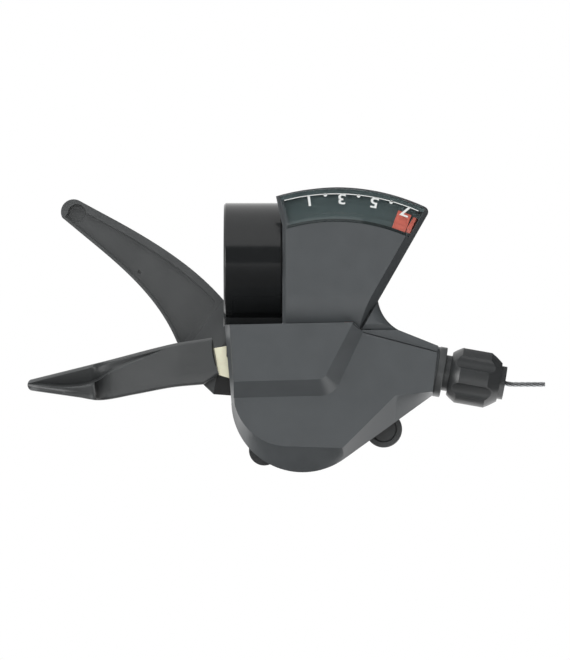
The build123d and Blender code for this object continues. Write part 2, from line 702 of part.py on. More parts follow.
def make_indicator_window():
    """A clear lens with a sloping facet along its inner edge."""
    front = FAN_FRONT - WINDOW_PROUD
    back = FAN_FRONT + WINDOW_THICK - WINDOW_PROUD
    lens = slab(window_outline(WINDOW_FIT), front, back) - right_edge_cut()
    facet = polygon((0, -front), (WINDOW_INNER_R + WINDOW_FACET, -front),
                    (WINDOW_INNER_R, -front - WINDOW_PROUD), (0, -front - WINDOW_PROUD))
    cone = revolve(Plane.XZ * facet, Axis.Z)
    return lens - Pos(DIAL_AXIS[0], 0, DIAL_AXIS[1]) * Rot(90, 0, 0) * cone


def make_indicator_base():
    room = offset(fan_outline(), -(FAN_WALL + WINDOW_FIT), kind=Kind.INTERSECTION)
    band = Pos(*DIAL_AXIS) * (Circle(LARGE) - Circle(DIAL_PLATE_INNER_R))
    return slab(room & band, FAN_FLOOR - DIAL_PLATE_THICK, FAN_FLOOR)


def make_needle():
    """A red flag on a cranked arm, with a slotted tail over the drum's crank pin."""
    bend = polar(DIAL_AXIS, ARM_BEND_R, ARM_ANGLE)
    flag_low = polar(DIAL_AXIS, FLAG_INNER_R, FLAG_ANGLE)
    reach = hypot(CRANK_PIN[0] - DIAL_AXIS[0], CRANK_PIN[1] - DIAL_AXIS[1])
    tail_angle = degrees(atan2(CRANK_PIN[1] - DIAL_AXIS[1], CRANK_PIN[0] - DIAL_AXIS[0]))
    slot_width = 2 * (CRANK_PIN_R + CRANK_SLOT_GAP)
    slot_in = polar(DIAL_AXIS, reach - CRANK_SLOT_GAP, tail_angle)
    slot_out = polar(DIAL_AXIS, AXIS_DISTANCE + CRANK_R + CRANK_SLOT_GAP, tail_angle)
    flag = Rectangle(FLAG_LENGTH, FLAG_WIDTH, align=(Align.MIN, Align.CENTER))
    shape = Pos(*DIAL_AXIS) * Circle(NEEDLE_HUB_R)
    shape += strip(DIAL_AXIS, bend, ARM_WIDTH)
    shape += strip(bend, flag_low, ARM_WIDTH)
    shape += Pos(*flag_low) * Rot(0, 0, FLAG_ANGLE) * flag
    shape += strip(DIAL_AXIS, slot_in, ARM_WIDTH)
    shape += strip(slot_in, slot_out, slot_width + 2 * CRANK_SLOT_WALL)
    shape -= strip(slot_in, slot_out, slot_width)
    shape -= Pos(*DIAL_AXIS) * Circle(NEEDLE_BOSS_R + RUN_GAP)
    return slab(shape, NEEDLE_FRONT, NEEDLE_BACK)


def make_needle_screw():
    head_front = NEEDLE_BACK + RUN_GAP
    screw = disc(DIAL_AXIS, NEEDLE_SCREW_HEAD_R, head_front, head_front + NEEDLE_SCREW_HEAD)
    return screw + disc(DIAL_AXIS, NEEDLE_SCREW_R, COVER_INSIDE, head_front)


def make_axle():
    axle = disc(MAIN_AXIS, AXLE_HEAD_R, AXLE_HEAD_FRONT, AXLE_HEAD_BACK)
    tail = TUB_BACK + WASHER_THICK + AXLE_NUT_THICK + AXLE_TAIL
    axle += disc(MAIN_AXIS, AXLE_R, AXLE_HEAD_BACK, tail)
    return axle - slab(spring_tang(AXLE_R - STRIP_TANG), SPRING_FRONT, DRUM_BACK)


def make_axle_washer():
    return tube(MAIN_AXIS, WASHER_R, AXLE_R, TUB_BACK, TUB_BACK + WASHER_THICK)


def hexagon(flats):
    return RegularPolygon(flats / 2, 6, major_radius=False)


def make_axle_nut():
    front = TUB_BACK + WASHER_THICK
    return slab(Pos(*MAIN_AXIS) * (hexagon(NUT_FLATS) - Circle(AXLE_R)), front, front + AXLE_NUT_THICK)


def make_lever_bush():
    return tube(MAIN_AXIS, BUSH_R, AXLE_R, RATCHET_BACK + 2 * RUN_GAP, BASE_FRONT)


def make_cable_drum():
    drum = disc(MAIN_AXIS, FLANGE_R, DRUM_FRONT, DRUM_BACK)
    groove = CABLE_R + CABLE_GAP
    drum -= tube(MAIN_AXIS, FLANGE_R, DRUM_CABLE_R - groove, CABLE_Y - groove, CABLE_Y + groove)
    drum -= cable_head(CABLE_GAP)
    drum -= disc(MAIN_AXIS, SPRING_CAVITY_R, SPRING_FRONT, DRUM_BACK)
    drum -= slab(spring_tang(SPRING_CAVITY_R), SPRING_FRONT, DRUM_BACK)
    drum -= disc(MAIN_AXIS, AXLE_R + AXLE_RUN, DRUM_FRONT, DRUM_BACK)
    for peg in drum_pegs():
        drum += disc(peg, DRUM_PEG_R, DRUM_BACK, RATCHET_BACK)
    return drum + disc(CRANK_PIN, CRANK_PIN_R, NEEDLE_FRONT, DRUM_FRONT)


def drum_pegs():
    """Places of the pegs that key the ratchet wheel to the drum."""
    place = (SPRING_CAVITY_R + RATCHET_ROOT_R) / 2
    return [polar(MAIN_AXIS, place, number * 360 / DRUM_PEGS) for number in range(DRUM_PEGS)]


def spring_tang(radius):
    """The bent end of the flat spring, pointing outwards from a radius to the left of the main axle."""
    tang = Rectangle(STRIP_TANG + STRIP_THICK, STRIP_THICK, align=(Align.MAX, Align.MIN))
    return Pos(MAIN_AXIS[0] - radius + STRIP_THICK, MAIN_AXIS[1]) * tang


def cable_head(gap):
    """The cast head on the end of the wire, in its pocket at the drum's rim."""
    place = polar(MAIN_AXIS, DRUM_CABLE_R, HEAD_ANGLE)
    tangent = (-sin(radians(HEAD_ANGLE)), 0, cos(radians(HEAD_ANGLE)))
    seat = Plane(origin=(place[0], CABLE_Y, place[1]), x_dir=(0, 1, 0), z_dir=tangent)
    head = Cylinder(CABLE_HEAD_R + gap, CABLE_HEAD_LENGTH + 2 * gap,
                    align=(Align.CENTER, Align.CENTER, Align.MIN))
    return seat * Pos(0, 0, -gap) * head


def make_inner_cable():
    """Steel wire from its head, round the drum and out through the adjuster, its bare end bent level."""
    arc = [polar(MAIN_AXIS, DRUM_CABLE_R, angle)
           for angle in (HEAD_ANGLE, (HEAD_ANGLE + CABLE_ANGLE) / 2, CABLE_ANGLE)]
    points = [Vector(x, CABLE_Y, z) for x, z in arc]
    bend_start = points[2] + Vector(*CABLE_DIR) * CABLE_BEND
    axis_x, axis_z = polar((bend_start.X, bend_start.Z), CABLE_BEND_R, CABLE_ANGLE)
    bend = [Vector(x, CABLE_Y, z) for x, z in (
        polar((axis_x, axis_z), CABLE_BEND_R, angle + 180) for angle in ((CABLE_ANGLE + 90) / 2, 90))]
    tail = bend[1] + Vector(CABLE_TAIL, 0, 0)
    path = Wire([ThreePointArc(*points), Line(points[2], bend_start),
                 ThreePointArc(bend_start, *bend), Line(bend[1], tail)])
    start = Plane(origin=points[0], z_dir=path % 0)
    return sweep(start * Circle(CABLE_R), path=path) + cable_head(0)


def saw_teeth(face_angle, count):
    """Tooth points over a run of notches, steep towards falling angles."""
    points = []
    for tooth in range(count, -1, -1):
        angle = face_angle - tooth * CLICK_DEG
        points += [polar(MAIN_AXIS, RATCHET_ROOT_R, angle), polar(MAIN_AXIS, RATCHET_TIP_R, angle)]
    points.append(polar(MAIN_AXIS, RATCHET_ROOT_R, face_angle + CLICK_DEG))
    return points


def make_ratchet():
    wheel = Pos(*MAIN_AXIS) * Circle(RATCHET_ROOT_R)
    for face_angle in (HOLD_FACE_ANGLE, DRIVE_FACE_ANGLE):
        wheel += polygon(MAIN_AXIS, *saw_teeth(face_angle, GEARS - 1))
    wheel -= Pos(*MAIN_AXIS) * Circle(AXLE_R + AXLE_RUN)
    for peg in drum_pegs():
        wheel -= Pos(*peg) * Circle(DRUM_PEG_R)
    return slab(wheel, DRUM_BACK, RATCHET_BACK)


def make_drum_spring():
    """A flat strip coiled from a slot in the axle out to a notch in the drum."""
    reach = AXLE_R + STRIP_THICK / 2
    growth = (SPRING_CAVITY_R - AXLE_R - STRIP_THICK) / (2 * STRIP_TURNS)
    edges = []
    side = -1
    for half_turn in range(2 * STRIP_TURNS):
        start = (side * reach, 0)
        end = (-side * (reach + growth), 0)
        edges.append(ThreePointArc(start, ((start[0] + end[0]) / 2, -side * (reach + growth / 2)), end))
        reach += growth
        side = -side
    band = Pos(*MAIN_AXIS) * trace(Wire(edges), STRIP_THICK)
    coil = slab(band, SPRING_FRONT + RUN_GAP, DRUM_BACK - RUN_GAP)
    for radius in (SPRING_CAVITY_R, AXLE_R - STRIP_TANG):
        coil += slab(spring_tang(radius), SPRING_FRONT + RUN_GAP, DRUM_BACK - RUN_GAP)
    return coil


def hold_ramp():
    """The edge of the hold pawl that the tab pushes, parallel to the tab's path over the pawl."""
    first = polar(MAIN_AXIS, TAB_REACH_R, TAB_ANGLE)
    last = polar(MAIN_AXIS, TAB_REACH_R, TAB_ANGLE - RELEASE_TRAVEL)
    last = turned(last, HOLD_PIVOT, -RELEASE_TRAVEL * HOLD_LIFT_RATIO)
    run = (last[0] - first[0], last[1] - first[1])
    length = hypot(*run)
    normal = (-run[1] / length, run[0] / length)
    shift = TAB_R + TAB_GAP
    start = (first[0] - run[0] / 2 + normal[0] * shift, first[1] - run[1] / 2 + normal[1] * shift)
    end = (last[0] + normal[0] * shift, last[1] + normal[1] * shift)
    return start, end


def make_hold_pawl():
    ride = RATCHET_TIP_R + PAWL_TIP_GAP
    nose = HOLD_FACE_ANGLE - HOLD_NOSE_BACK
    ramp_start, ramp_end = hold_ramp()
    shape = polygon(
        polar(MAIN_AXIS, ride, nose),
        polar(MAIN_AXIS, ride + PAWL_TIP_GAP, nose - HOLD_NOSE_TURN),
        polar(MAIN_AXIS, HOLD_HEEL_R - HOLD_HEEL_LIP, nose - HOLD_TAIL_TURN),
        polar(MAIN_AXIS, HOLD_HEEL_R, nose - HOLD_HEEL_TURN),
        polar(HOLD_PIVOT, PAWL_EYE_R, HOLD_EYE_OUT),
        polar(HOLD_PIVOT, PAWL_EYE_R, HOLD_EYE_IN),
        ramp_start,
        ramp_end,
        polar(MAIN_AXIS, ride + RATCHET_TIP_R - RATCHET_ROOT_R, nose + HOLD_NOSE_BACK / 2),
    )
    shape += Pos(*HOLD_PIVOT) * Circle(PAWL_EYE_R)
    shape -= Pos(*HOLD_PIVOT) * Circle(PAWL_PIN_R + PAWL_PIN_GAP)
    return slab(shape, PAWL_FRONT, PAWL_BACK) + disc(HOLD_PEG, SPRING_PEG_R, HOLD_SPRING_FRONT, PAWL_FRONT)


def make_hold_pawl_post():
    post = disc(HOLD_PIVOT, PAWL_PIN_R, HOLD_SPRING_FRONT, BASE_BACK)
    return post + disc(HOLD_PIVOT, HOLD_POST_R, PAWL_BACK + RUN_GAP, BASE_FRONT)


def make_drive_pawl():
    """Drawn in a notch, then lifted clear of the teeth as the lever's rest does."""
    nose = DRIVE_FACE_ANGLE - DRIVE_NOSE_BACK
    bed = RATCHET_ROOT_R + (RATCHET_TIP_R - RATCHET_ROOT_R) * DRIVE_NOSE_BACK / CLICK_DEG
    shape = polygon(
        polar(MAIN_AXIS, bed + PAWL_TIP_GAP, nose),
        polar(MAIN_AXIS, RATCHET_TIP_R + PAWL_TIP_GAP, nose - DRIVE_NOSE_TURN),
        polar(DRIVE_PIVOT, DRIVE_EYE_R, DRIVE_EYE_IN),
        polar(DRIVE_PIVOT, DRIVE_EYE_R, DRIVE_EYE_OUT),
        polar(MAIN_AXIS, RATCHET_TIP_R + DRIVE_BACK_RISE, nose - DRIVE_BACK_TURN),
    )
    shape += Pos(*DRIVE_PIVOT) * Circle(DRIVE_EYE_R)
    shape -= Pos(*DRIVE_PIVOT) * Circle(PAWL_PIN_R + PAWL_PIN_GAP)
    shape = Pos(*DRIVE_PIVOT) * Rot(0, 0, -DRIVE_DROP) * Pos(-DRIVE_PIVOT[0], -DRIVE_PIVOT[1]) * shape
    peg = disc(DRIVE_PAWL_PEG, SPRING_PEG_R, PAWL_BACK, DRIVE_SPRING_BACK)
    return slab(shape, PAWL_FRONT, PAWL_BACK) + peg


def make_drive_pawl_pin():
    pin = disc(DRIVE_PIVOT, PAWL_PIN_R, PAWL_FRONT, COIL_BACK)
    pin += disc(DRIVE_PIVOT, DRIVE_STEM_R, PAWL_BACK + RUN_GAP, MAIN_FRONT)
    return pin + disc(DRIVE_PIVOT, DRIVE_EYE_R, DRIVE_SPRING_BACK + RUN_GAP, MAIN_FRONT)


def make_main_lever_plate():
    shape = Pos(*MAIN_AXIS) * Circle(MAIN_HUB_R)
    shape += sector(MAIN_AXIS, MAIN_PLATE_TOP, MAIN_PLATE_LOW, MAIN_PLATE_R)
    shape += strip(MAIN_AXIS, DRIVE_PIVOT, 2 * DRIVE_EYE_R)
    shape -= Pos(*MAIN_AXIS) * Circle(BUSH_R + RUN_GAP)
    shape -= Pos(*DRIVE_PIVOT) * Circle(PAWL_PIN_R)
    peg = disc(DRIVE_PLATE_PEG, SPRING_PEG_R, DRIVE_SPRING_FRONT, MAIN_FRONT)
    return slab(shape, MAIN_FRONT, MAIN_BACK) + peg


def main_lever_outline():
    """The thumb lever in the front view, from the hub at the right to the tip at the upper left."""
    ring_side = -(BAND_WIDTH / 2 + RUN_GAP)
    ring_top = (ring_side, MAIN_RING_TOP_Z)
    upper = Spline(ring_top, *MAIN_UPPER_EDGE)
    tip = ThreePointArc(MAIN_UPPER_EDGE[-1], MAIN_TIP, MAIN_LOWER_EDGE[0])
    lower = Spline(*MAIN_LOWER_EDGE)
    hub_low = polar(MAIN_AXIS, MAIN_PLATE_R, MAIN_PLATE_LOW)
    inner_low = polar(MAIN_AXIS, MAIN_TONGUE_R, MAIN_PLATE_LOW)
    inner_mid = polar(MAIN_AXIS, MAIN_TONGUE_R, (MAIN_PLATE_LOW + MAIN_PLATE_TOP) / 2)
    inner_top = polar(MAIN_AXIS, MAIN_TONGUE_R, MAIN_PLATE_TOP)
    hub_top = polar(MAIN_AXIS, MAIN_PLATE_R, MAIN_PLATE_TOP)
    return make_face([
        upper, tip, lower,
        Polyline(MAIN_LOWER_EDGE[-1], MAIN_HEEL, hub_low, inner_low),
        ThreePointArc(inner_low, inner_mid, inner_top),
        Polyline(inner_top, hub_top, MAIN_SHOULDER, (ring_side, MAIN_SHOULDER[1]), ring_top),
    ])


def lever_tray():
    """The hollow of the thumb lever's face, inside its rim and below the rib along its upper edge."""
    outline = main_lever_outline()
    under_rib = Pos(*polar((0, 0), TRAY_RIB, TRAY_RIB_ANGLE)) * outline
    above_rim = Pos(*polar((0, 0), -TRAY_RIM, TRAY_RIB_ANGLE)) * outline
    along = Pos(*MAIN_AXIS) * Rot(0, 0, MAIN_ARM_ANGLE)
    inside = along * Rectangle(TRAY_END - TRAY_START, LARGE, align=(Align.MIN, Align.CENTER))
    return under_rib & above_rim & Pos(*polar((0, 0), TRAY_START, MAIN_ARM_ANGLE)) * inside


def make_main_lever():
    """A moulded arm that steps back from the hub to pass behind the bar."""
    angle = radians(MAIN_ARM_ANGLE)
    bend_plane = Plane(origin=(MAIN_AXIS[0], 0, MAIN_AXIS[1]), x_dir=(cos(angle), 0, sin(angle)),
                       z_dir=(-sin(angle), 0, cos(angle)))
    arm_back = MAIN_ARM_Y + MAIN_ARM_THICK
    profile = polygon(
        (0, MAIN_FRONT), (MAIN_RAMP_START, MAIN_FRONT), (MAIN_RAMP_END, MAIN_ARM_Y), (LARGE, MAIN_ARM_Y),
        (LARGE, arm_back), (MAIN_RAMP_END - MAIN_TONGUE, arm_back),
        (MAIN_RAMP_START - MAIN_TONGUE, TONGUE_BACK), (0, TONGUE_BACK),
    )
    bent = extrude(bend_plane * profile, LARGE / 2, both=True)
    arm = bent & slab(main_lever_outline(), MAIN_FRONT, arm_back)
    arm -= slab(lever_tray(), MAIN_ARM_Y, MAIN_ARM_Y + TRAY_DEPTH)
    arm -= disc(TIP_POCKET, TIP_POCKET_R, MAIN_ARM_Y, MAIN_ARM_Y + TRAY_DEPTH + TIP_POCKET_DEPTH)
    arm -= disc(LEVER_HOLE, LEVER_HOLE_R, MAIN_ARM_Y, MAIN_ARM_Y + TRAY_DEPTH + TIP_POCKET_DEPTH)
    return arm - make_main_lever_plate()


def make_release_plate():
    """Zinc plated plate: hub, tongue to the finger lever and an arm with the pawl tab."""
    tab = polar(MAIN_AXIS, TAB_REACH_R, TAB_ANGLE)
    shape = Pos(*MAIN_AXIS) * Circle(RELEASE_HUB_R)
    shape += sector(MAIN_AXIS, RELEASE_PLATE_TOP, RELEASE_PLATE_LOW, RELEASE_PLATE_R)
    shape += polygon(*RELEASE_TONGUE)
    shape += strip(MAIN_AXIS, tab, 4 * TAB_R)
    shape -= Pos(*MAIN_AXIS) * Circle(BUSH_R + RUN_GAP)
    plate = slab(shape, RELEASE_FRONT, RELEASE_BACK)
    return plate + disc(tab, TAB_R, PAWL_FRONT + PAWL_SIDE_GAP, RELEASE_FRONT)


def make_release_lever():
    """The moulded finger lever over the end of the release plate."""
    upper = Spline(*RELEASE_UPPER_EDGE)
    end = ThreePointArc(RELEASE_UPPER_EDGE[-1], RELEASE_END_MID, RELEASE_END_LOW)
    lower = Spline(*RELEASE_LOWER_EDGE)
    tip = ThreePointArc(RELEASE_LOWER_EDGE[-1], RELEASE_TIP, RELEASE_UPPER_EDGE[0])
    outline = make_face([upper, end, Line(RELEASE_END_LOW, RELEASE_LOWER_EDGE[0]), lower, tip])
    back = ((RELEASE_FACE[-1][0], RELEASE_BACK), (RELEASE_TIP[0], RELEASE_BACK))
    profile = polygon(*RELEASE_FACE, *back)
    front = min(y for _, y in RELEASE_FACE)
    arm = slab(outline, front, RELEASE_BACK) & extrude(Pos(0, 0, -LARGE / 2) * profile, LARGE)
    return arm - slab(dish_outline(), front, DISH_FLOOR) - make_release_plate()


def dish_outline():
    """The sunk part of the finger lever's face: a dish above the lip that runs out along the upper edge."""
    left, right = DISH_RIDGE[0], DISH_STRIP_END
    around = Polyline(DISH_RIDGE[-1], right, (right[0], 0), (left[0], 0), left)
    return make_face([Spline(*DISH_RIDGE), around])


def tub_outline():
    outline = offset(cover_outline(), -TUB_INSET, kind=Kind.INTERSECTION)
    return outline & left_of(TUB_RIGHT) & right_of(TUB_LEFT)


def make_base_housing():
    outline = tub_outline()
    inside = offset(outline, -TUB_WALL, kind=Kind.INTERSECTION)
    tub = slab(outline, PARTING, TUB_BACK) - slab(inside, PARTING, BASE_BACK)
    tub += disc(SMALL_BOSS, SMALL_BOSS_R, BOSS_FRONT, TUB_BACK)
    tub += disc(PLUG, PLUG_BOSS_R, PLUG_SEAT, TUB_BACK)
    tub -= disc(PLUG, PLUG_BOSS_R + SEAM, PARTING, PLUG_SEAT)
    for post in COVER_POSTS:
        tub += disc(post, POST_R, PARTING, TUB_BACK)
    slot = sector(MAIN_AXIS, LEVER_SLOT_START, LEVER_SLOT_END, 2 * COVER_R)
    slot -= Pos(*SMALL_BOSS) * Circle(SMALL_BOSS_R)
    tub -= slab(slot, RELEASE_FRONT - PLATE_GAP, TONGUE_BACK + PLATE_GAP)
    foot = Pos(FOOT_CENTRE_X, 0) * Rectangle(FOOT_WIDTH + 2 * SEAM, LARGE)
    above = Pos(0, FOOT_SCREW_Z) * Rectangle(LARGE, LARGE, align=(Align.CENTER, Align.MIN))
    tub -= slab(foot & above, BASE_FRONT - FOOT_THICK - SEAM, BASE_BACK)
    tub -= disc(PLUG, PLUG_R, PLUG_SEAT, PLUG_SEAT + PLUG_LENGTH)
    tub -= disc(MAIN_AXIS, AXLE_R, BASE_BACK, TUB_BACK)
    for point in SCREW_POINTS:
        tub -= disc(point, SCREW_R + SCREW_GAP, PARTING, TUB_BACK)
    for point in FOOT_SCREWS:
        tub -= disc(point, SCREW_R + SCREW_GAP, BASE_BACK, TUB_BACK)
    tub -= along_cable(BOSS_R + SEAM, BOSS_START - SEAM, BOSS_END)
    return tub


def make_base_plate():
    plate = slab(offset(tub_outline(), -(TUB_WALL + SEAM), kind=Kind.INTERSECTION), BASE_FRONT, BASE_BACK)
    plate -= disc(SMALL_BOSS, SMALL_BOSS_R + SEAM, BASE_FRONT, BASE_BACK)
    plate -= disc(PLUG, PLUG_BOSS_R + SEAM, BASE_FRONT, BASE_BACK)
    plate -= disc(MAIN_AXIS, AXLE_R, BASE_FRONT, BASE_BACK)
    plate -= disc(HOLD_PIVOT, PAWL_PIN_R, BASE_FRONT, BASE_BACK)
    for post in COVER_POSTS:
        plate -= disc(post, POST_R + SEAM, BASE_FRONT, BASE_BACK)
    for point in FOOT_SCREWS:
        plate -= disc(point, SCREW_R + SCREW_GAP, BASE_FRONT, BASE_BACK)
    return plate


def make_cable_plug():
    """A round plug with a raised rim round a slotted middle."""
    plug = disc(PLUG, PLUG_R, PLUG_SEAT, PLUG_SEAT + PLUG_LENGTH)
    plug += disc(PLUG, PLUG_BOSS_R, PLUG_FRONT, PLUG_SEAT)
    plug -= disc(PLUG, PLUG_R - PLUG_RIM / 2, PLUG_FRONT, PLUG_FRONT + PLUG_RIM / 2)
    return plug


def screw_from_back(point, grip_end):
    """A round headed screw that goes in from behind the tub."""
    head = disc(point, SCREW_HEAD_R, TUB_BACK, TUB_BACK + SCREW_HEAD)
    socket = slab(Pos(*point) * hexagon(SCREW_HEAD_R), TUB_BACK + SCREW_HEAD / 3, TUB_BACK + SCREW_HEAD)
    return head - socket + disc(point, SCREW_R, grip_end, TUB_BACK)


def make_cover_screws():
    return Compound(children=[screw_from_back(point, PARTING - SCREW_GRIP + SEAM) for point in SCREW_POINTS])


def make_bracket_screws():
    shank_end = BASE_FRONT - FOOT_THICK + SEAM
    return Compound(children=[screw_from_back(point, shank_end) for point in FOOT_SCREWS])


def make_clamp_band():
    ring = Rot(0, 90, 0) * Cylinder(BAND_R, BAND_WIDTH)
    ring = chamfer(ring.edges().filter_by(GeomType.CIRCLE), BAND_EDGE)
    ear = Pos(0, BOLT_Y) * Circle(EAR_WIDTH / 2)
    ear += Rectangle(EAR_WIDTH, BOLT_Y, align=(Align.CENTER, Align.MIN))
    ear_height = SPLIT_GAP / 2 + EAR_THICK
    band = ring + extrude(ear, ear_height, both=True)
    foot_low = -(BAND_R + FOOT_DROP)
    foot = Pos(FOOT_CENTRE_X, 0) * Rectangle(FOOT_WIDTH, -foot_low, align=(Align.CENTER, Align.MAX))
    band += slab(foot, BASE_FRONT - FOOT_THICK, BASE_FRONT)
    saddle_left = BAND_EDGE - BAND_WIDTH / 2
    saddle_right = FAN_LEFT + FAN_REBATE
    saddle = Pos(saddle_left, 0) * Rectangle(saddle_right - saddle_left, BAND_R + SADDLE_DROP,
                                             align=(Align.MIN, Align.MAX))
    band += slab(saddle - Pos(0, RUN_GAP) * cover_outline(), SADDLE_FRONT, BASE_FRONT)
    band -= Rot(0, 90, 0) * Cylinder(BORE_R, LARGE)
    band -= Box(LARGE, LARGE, SPLIT_GAP, align=(Align.CENTER, Align.MIN, Align.CENTER))
    band -= Pos(0, BOLT_Y, 0) * Cylinder(BOLT_R + BOLT_HOLE_GAP, LARGE)
    pocket = Pos(0, BOLT_Y, -ear_height) * hexagon(NUT_FLATS + BOLT_HOLE_GAP)
    band -= extrude(pocket, NUT_POCKET)
    for point in FOOT_SCREWS:
        band -= disc(point, SCREW_R, BASE_FRONT - FOOT_THICK, BASE_FRONT)
    return band


def make_clamp_bolt():
    head_low = SPLIT_GAP / 2 + EAR_THICK
    nut_low = -head_low + NUT_POCKET - NUT_THICK
    bolt = Pos(0, BOLT_Y, head_low) * extrude(Circle(BOLT_HEAD_R), BOLT_HEAD_HEIGHT)
    bolt -= Pos(0, BOLT_Y, head_low + BOLT_HEAD_HEIGHT) * extrude(hexagon(SOCKET_FLATS), -SOCKET_DEPTH)
    shank = extrude(Circle(BOLT_R), head_low - nut_low + AXLE_TAIL)
    return bolt + Pos(0, BOLT_Y, nut_low - AXLE_TAIL) * shank


def make_clamp_nut():
    top = -(SPLIT_GAP / 2 + EAR_THICK) + NUT_POCKET
    return Pos(0, BOLT_Y, top) * extrude(hexagon(NUT_FLATS) - Circle(BOLT_R), -NUT_THICK)


def sleeve_key(gap):
    """The rib that keeps the detent sleeve from turning in its collar."""
    key = Box(KEY_RISE + SLEEVE_R + gap, KEY_WIDTH + 2 * gap, COLLAR_FACE - BOSS_END + COLLAR_DEPTH,
              align=(Align.MIN, Align.CENTER, Align.MIN))
    return CABLE_LINE * Pos(0, 0, BOSS_END - COLLAR_DEPTH) * key


def make_adjuster_collar():
    collar = along_cable(COLLAR_R, BOSS_END, COLLAR_FACE)
    collar += along_cable(COLLAR_TUBE_R, BOSS_END - COLLAR_DEPTH, BOSS_END)
    collar -= along_cable(SLEEVE_R + SLEEVE_GAP, BOSS_END - COLLAR_DEPTH, COLLAR_FACE)
    return collar - sleeve_key(SLEEVE_GAP)


def make_detent_sleeve():
    sleeve = along_cable(SLEEVE_R, KNOB_START - SLEEVE_DEPTH, KNOB_START)
    key = sleeve_key(0) & along_cable(COLLAR_TUBE_R, KNOB_START - SLEEVE_DEPTH, COLLAR_FACE - RUN_GAP)
    sleeve += key
    return sleeve - along_cable(STEM_R + STEM_GAP, KNOB_START - SLEEVE_DEPTH, KNOB_START)


def make_barrel_adjuster():
    """A six-lobed knob with a threaded stem, bored for the wire and open at the end for its casing."""
    ring_start = KNOB_LENGTH - KNOB_RING_LENGTH
    profile = make_face(Polyline(
        (0, 0), (KNOB_REAR_R, 0), (KNOB_R, KNOB_REAR_TAPER), (KNOB_R, KNOB_LENGTH - KNOB_NOSE_TAPER),
        (KNOB_NOSE_R, ring_start), (KNOB_RING_R, ring_start), (KNOB_RING_R, KNOB_LENGTH), (0, KNOB_LENGTH),
        close=True))
    knob = revolve(Plane.XZ * profile, Axis.Z)
    flute_place = KNOB_R + KNOB_FLUTE_R - KNOB_FLUTE_DEPTH
    for lobe in range(KNOB_LOBES):
        turn = Rot(0, 0, (lobe + 0.5) * 360 / KNOB_LOBES)
        flute = turn * Pos(flute_place, 0, 0) * Cylinder(KNOB_FLUTE_R, LARGE)
        knob -= flute
    knob = CABLE_LINE * Pos(0, 0, KNOB_START) * knob
    knob += along_cable(STEM_R, STEM_START, KNOB_START)
    knob -= along_cable(WIRE_HOLE_R, STEM_START, KNOB_END)
    return knob - along_cable(CASING_R, KNOB_END - CASING_DEPTH, KNOB_END)


def spring_leg(centre, coil_r, wire, angle, offset_side, reach):
    """A straight leg of a wire spring, and the angle at which it leaves the coil."""
    start = polar(centre, (coil_r ** 2 - offset_side ** 2) ** 0.5, angle)
    end = polar(centre, reach, angle)
    start = polar(start, offset_side, angle + 90)
    end = polar(end, offset_side, angle + 90)
    return strip(start, end, wire), angle + degrees(asin(offset_side / coil_r))


def make_main_lever_spring():
    """An open round of wire about the bush, which bears on the post and on the drive pawl's pin."""
    coil_r = BUSH_R + COIL_GAP + COIL_WIRE / 2
    pin_side = PAWL_PIN_R + COIL_WIRE / 2 + RUN_GAP
    post_side = -(HOLD_POST_R + COIL_WIRE / 2 + RUN_GAP)
    lever_leg, start = spring_leg(MAIN_AXIS, coil_r, COIL_WIRE, DRIVE_PIVOT_ANGLE, pin_side, DRIVE_PIVOT_R)
    post_leg, end = spring_leg(MAIN_AXIS, coil_r, COIL_WIRE, HOLD_PIVOT_ANGLE, post_side,
                               HOLD_PIVOT_R - COIL_WIRE / 2)
    coil = open_coil(MAIN_AXIS, coil_r, COIL_WIRE, start, end)
    return slab(coil + lever_leg + post_leg, COIL_FRONT, COIL_BACK)


def open_coil(centre, coil_r, wire, start, end):
    """One open round of wire, counter-clockwise from one angle to the other."""
    return sector(centre, start, end, coil_r + wire / 2) - Pos(*centre) * Circle(coil_r - wire / 2)


def make_hold_pawl_spring():
    """A round of wire about the post, which bears on a cover post and presses the pawl's peg inward."""
    coil_r = PAWL_PIN_R + RUN_GAP + PAWL_WIRE / 2
    peg_side = SPRING_PEG_R + PAWL_WIRE / 2 + RUN_GAP
    post = COVER_POSTS[HOLD_ANCHOR]
    away = (post[0] - HOLD_PIVOT[0], post[1] - HOLD_PIVOT[1])
    lean = degrees(asin((POST_R + PAWL_WIRE / 2 + RUN_GAP - HOLD_LEG_SIDE) / hypot(*away)))
    post_angle = degrees(atan2(away[1], away[0])) - lean
    pawl_leg, end = spring_leg(HOLD_PIVOT, coil_r, PAWL_WIRE, HOLD_PEG_ANGLE, peg_side, HOLD_PEG_REACH)
    post_leg, start = spring_leg(HOLD_PIVOT, coil_r, PAWL_WIRE, post_angle, -HOLD_LEG_SIDE, HOLD_LEG_REACH)
    coil = open_coil(HOLD_PIVOT, coil_r, PAWL_WIRE, start, end)
    return slab(coil + pawl_leg + post_leg, HOLD_SPRING_FRONT, HOLD_SPRING_BACK)


def make_drive_pawl_spring():
    """A round of wire about the pin's stem, between a peg of the lever plate and a peg of the pawl."""
    coil_r = DRIVE_STEM_R + RUN_GAP + PAWL_WIRE / 2
    side = SPRING_PEG_R + PAWL_WIRE / 2 + RUN_GAP
    pawl_leg, end = spring_leg(DRIVE_PIVOT, coil_r, PAWL_WIRE, DRIVE_PEG_ANGLE, -side, DRIVE_PEG_REACH)
    plate_leg, start = spring_leg(DRIVE_PIVOT, coil_r, PAWL_WIRE, DRIVE_PIVOT_ANGLE + 180, side,
                                  DRIVE_PEG_REACH)
    coil = open_coil(DRIVE_PIVOT, coil_r, PAWL_WIRE, start, end + 360)
    return slab(coil + pawl_leg + plate_leg, DRIVE_SPRING_FRONT, DRIVE_SPRING_BACK)


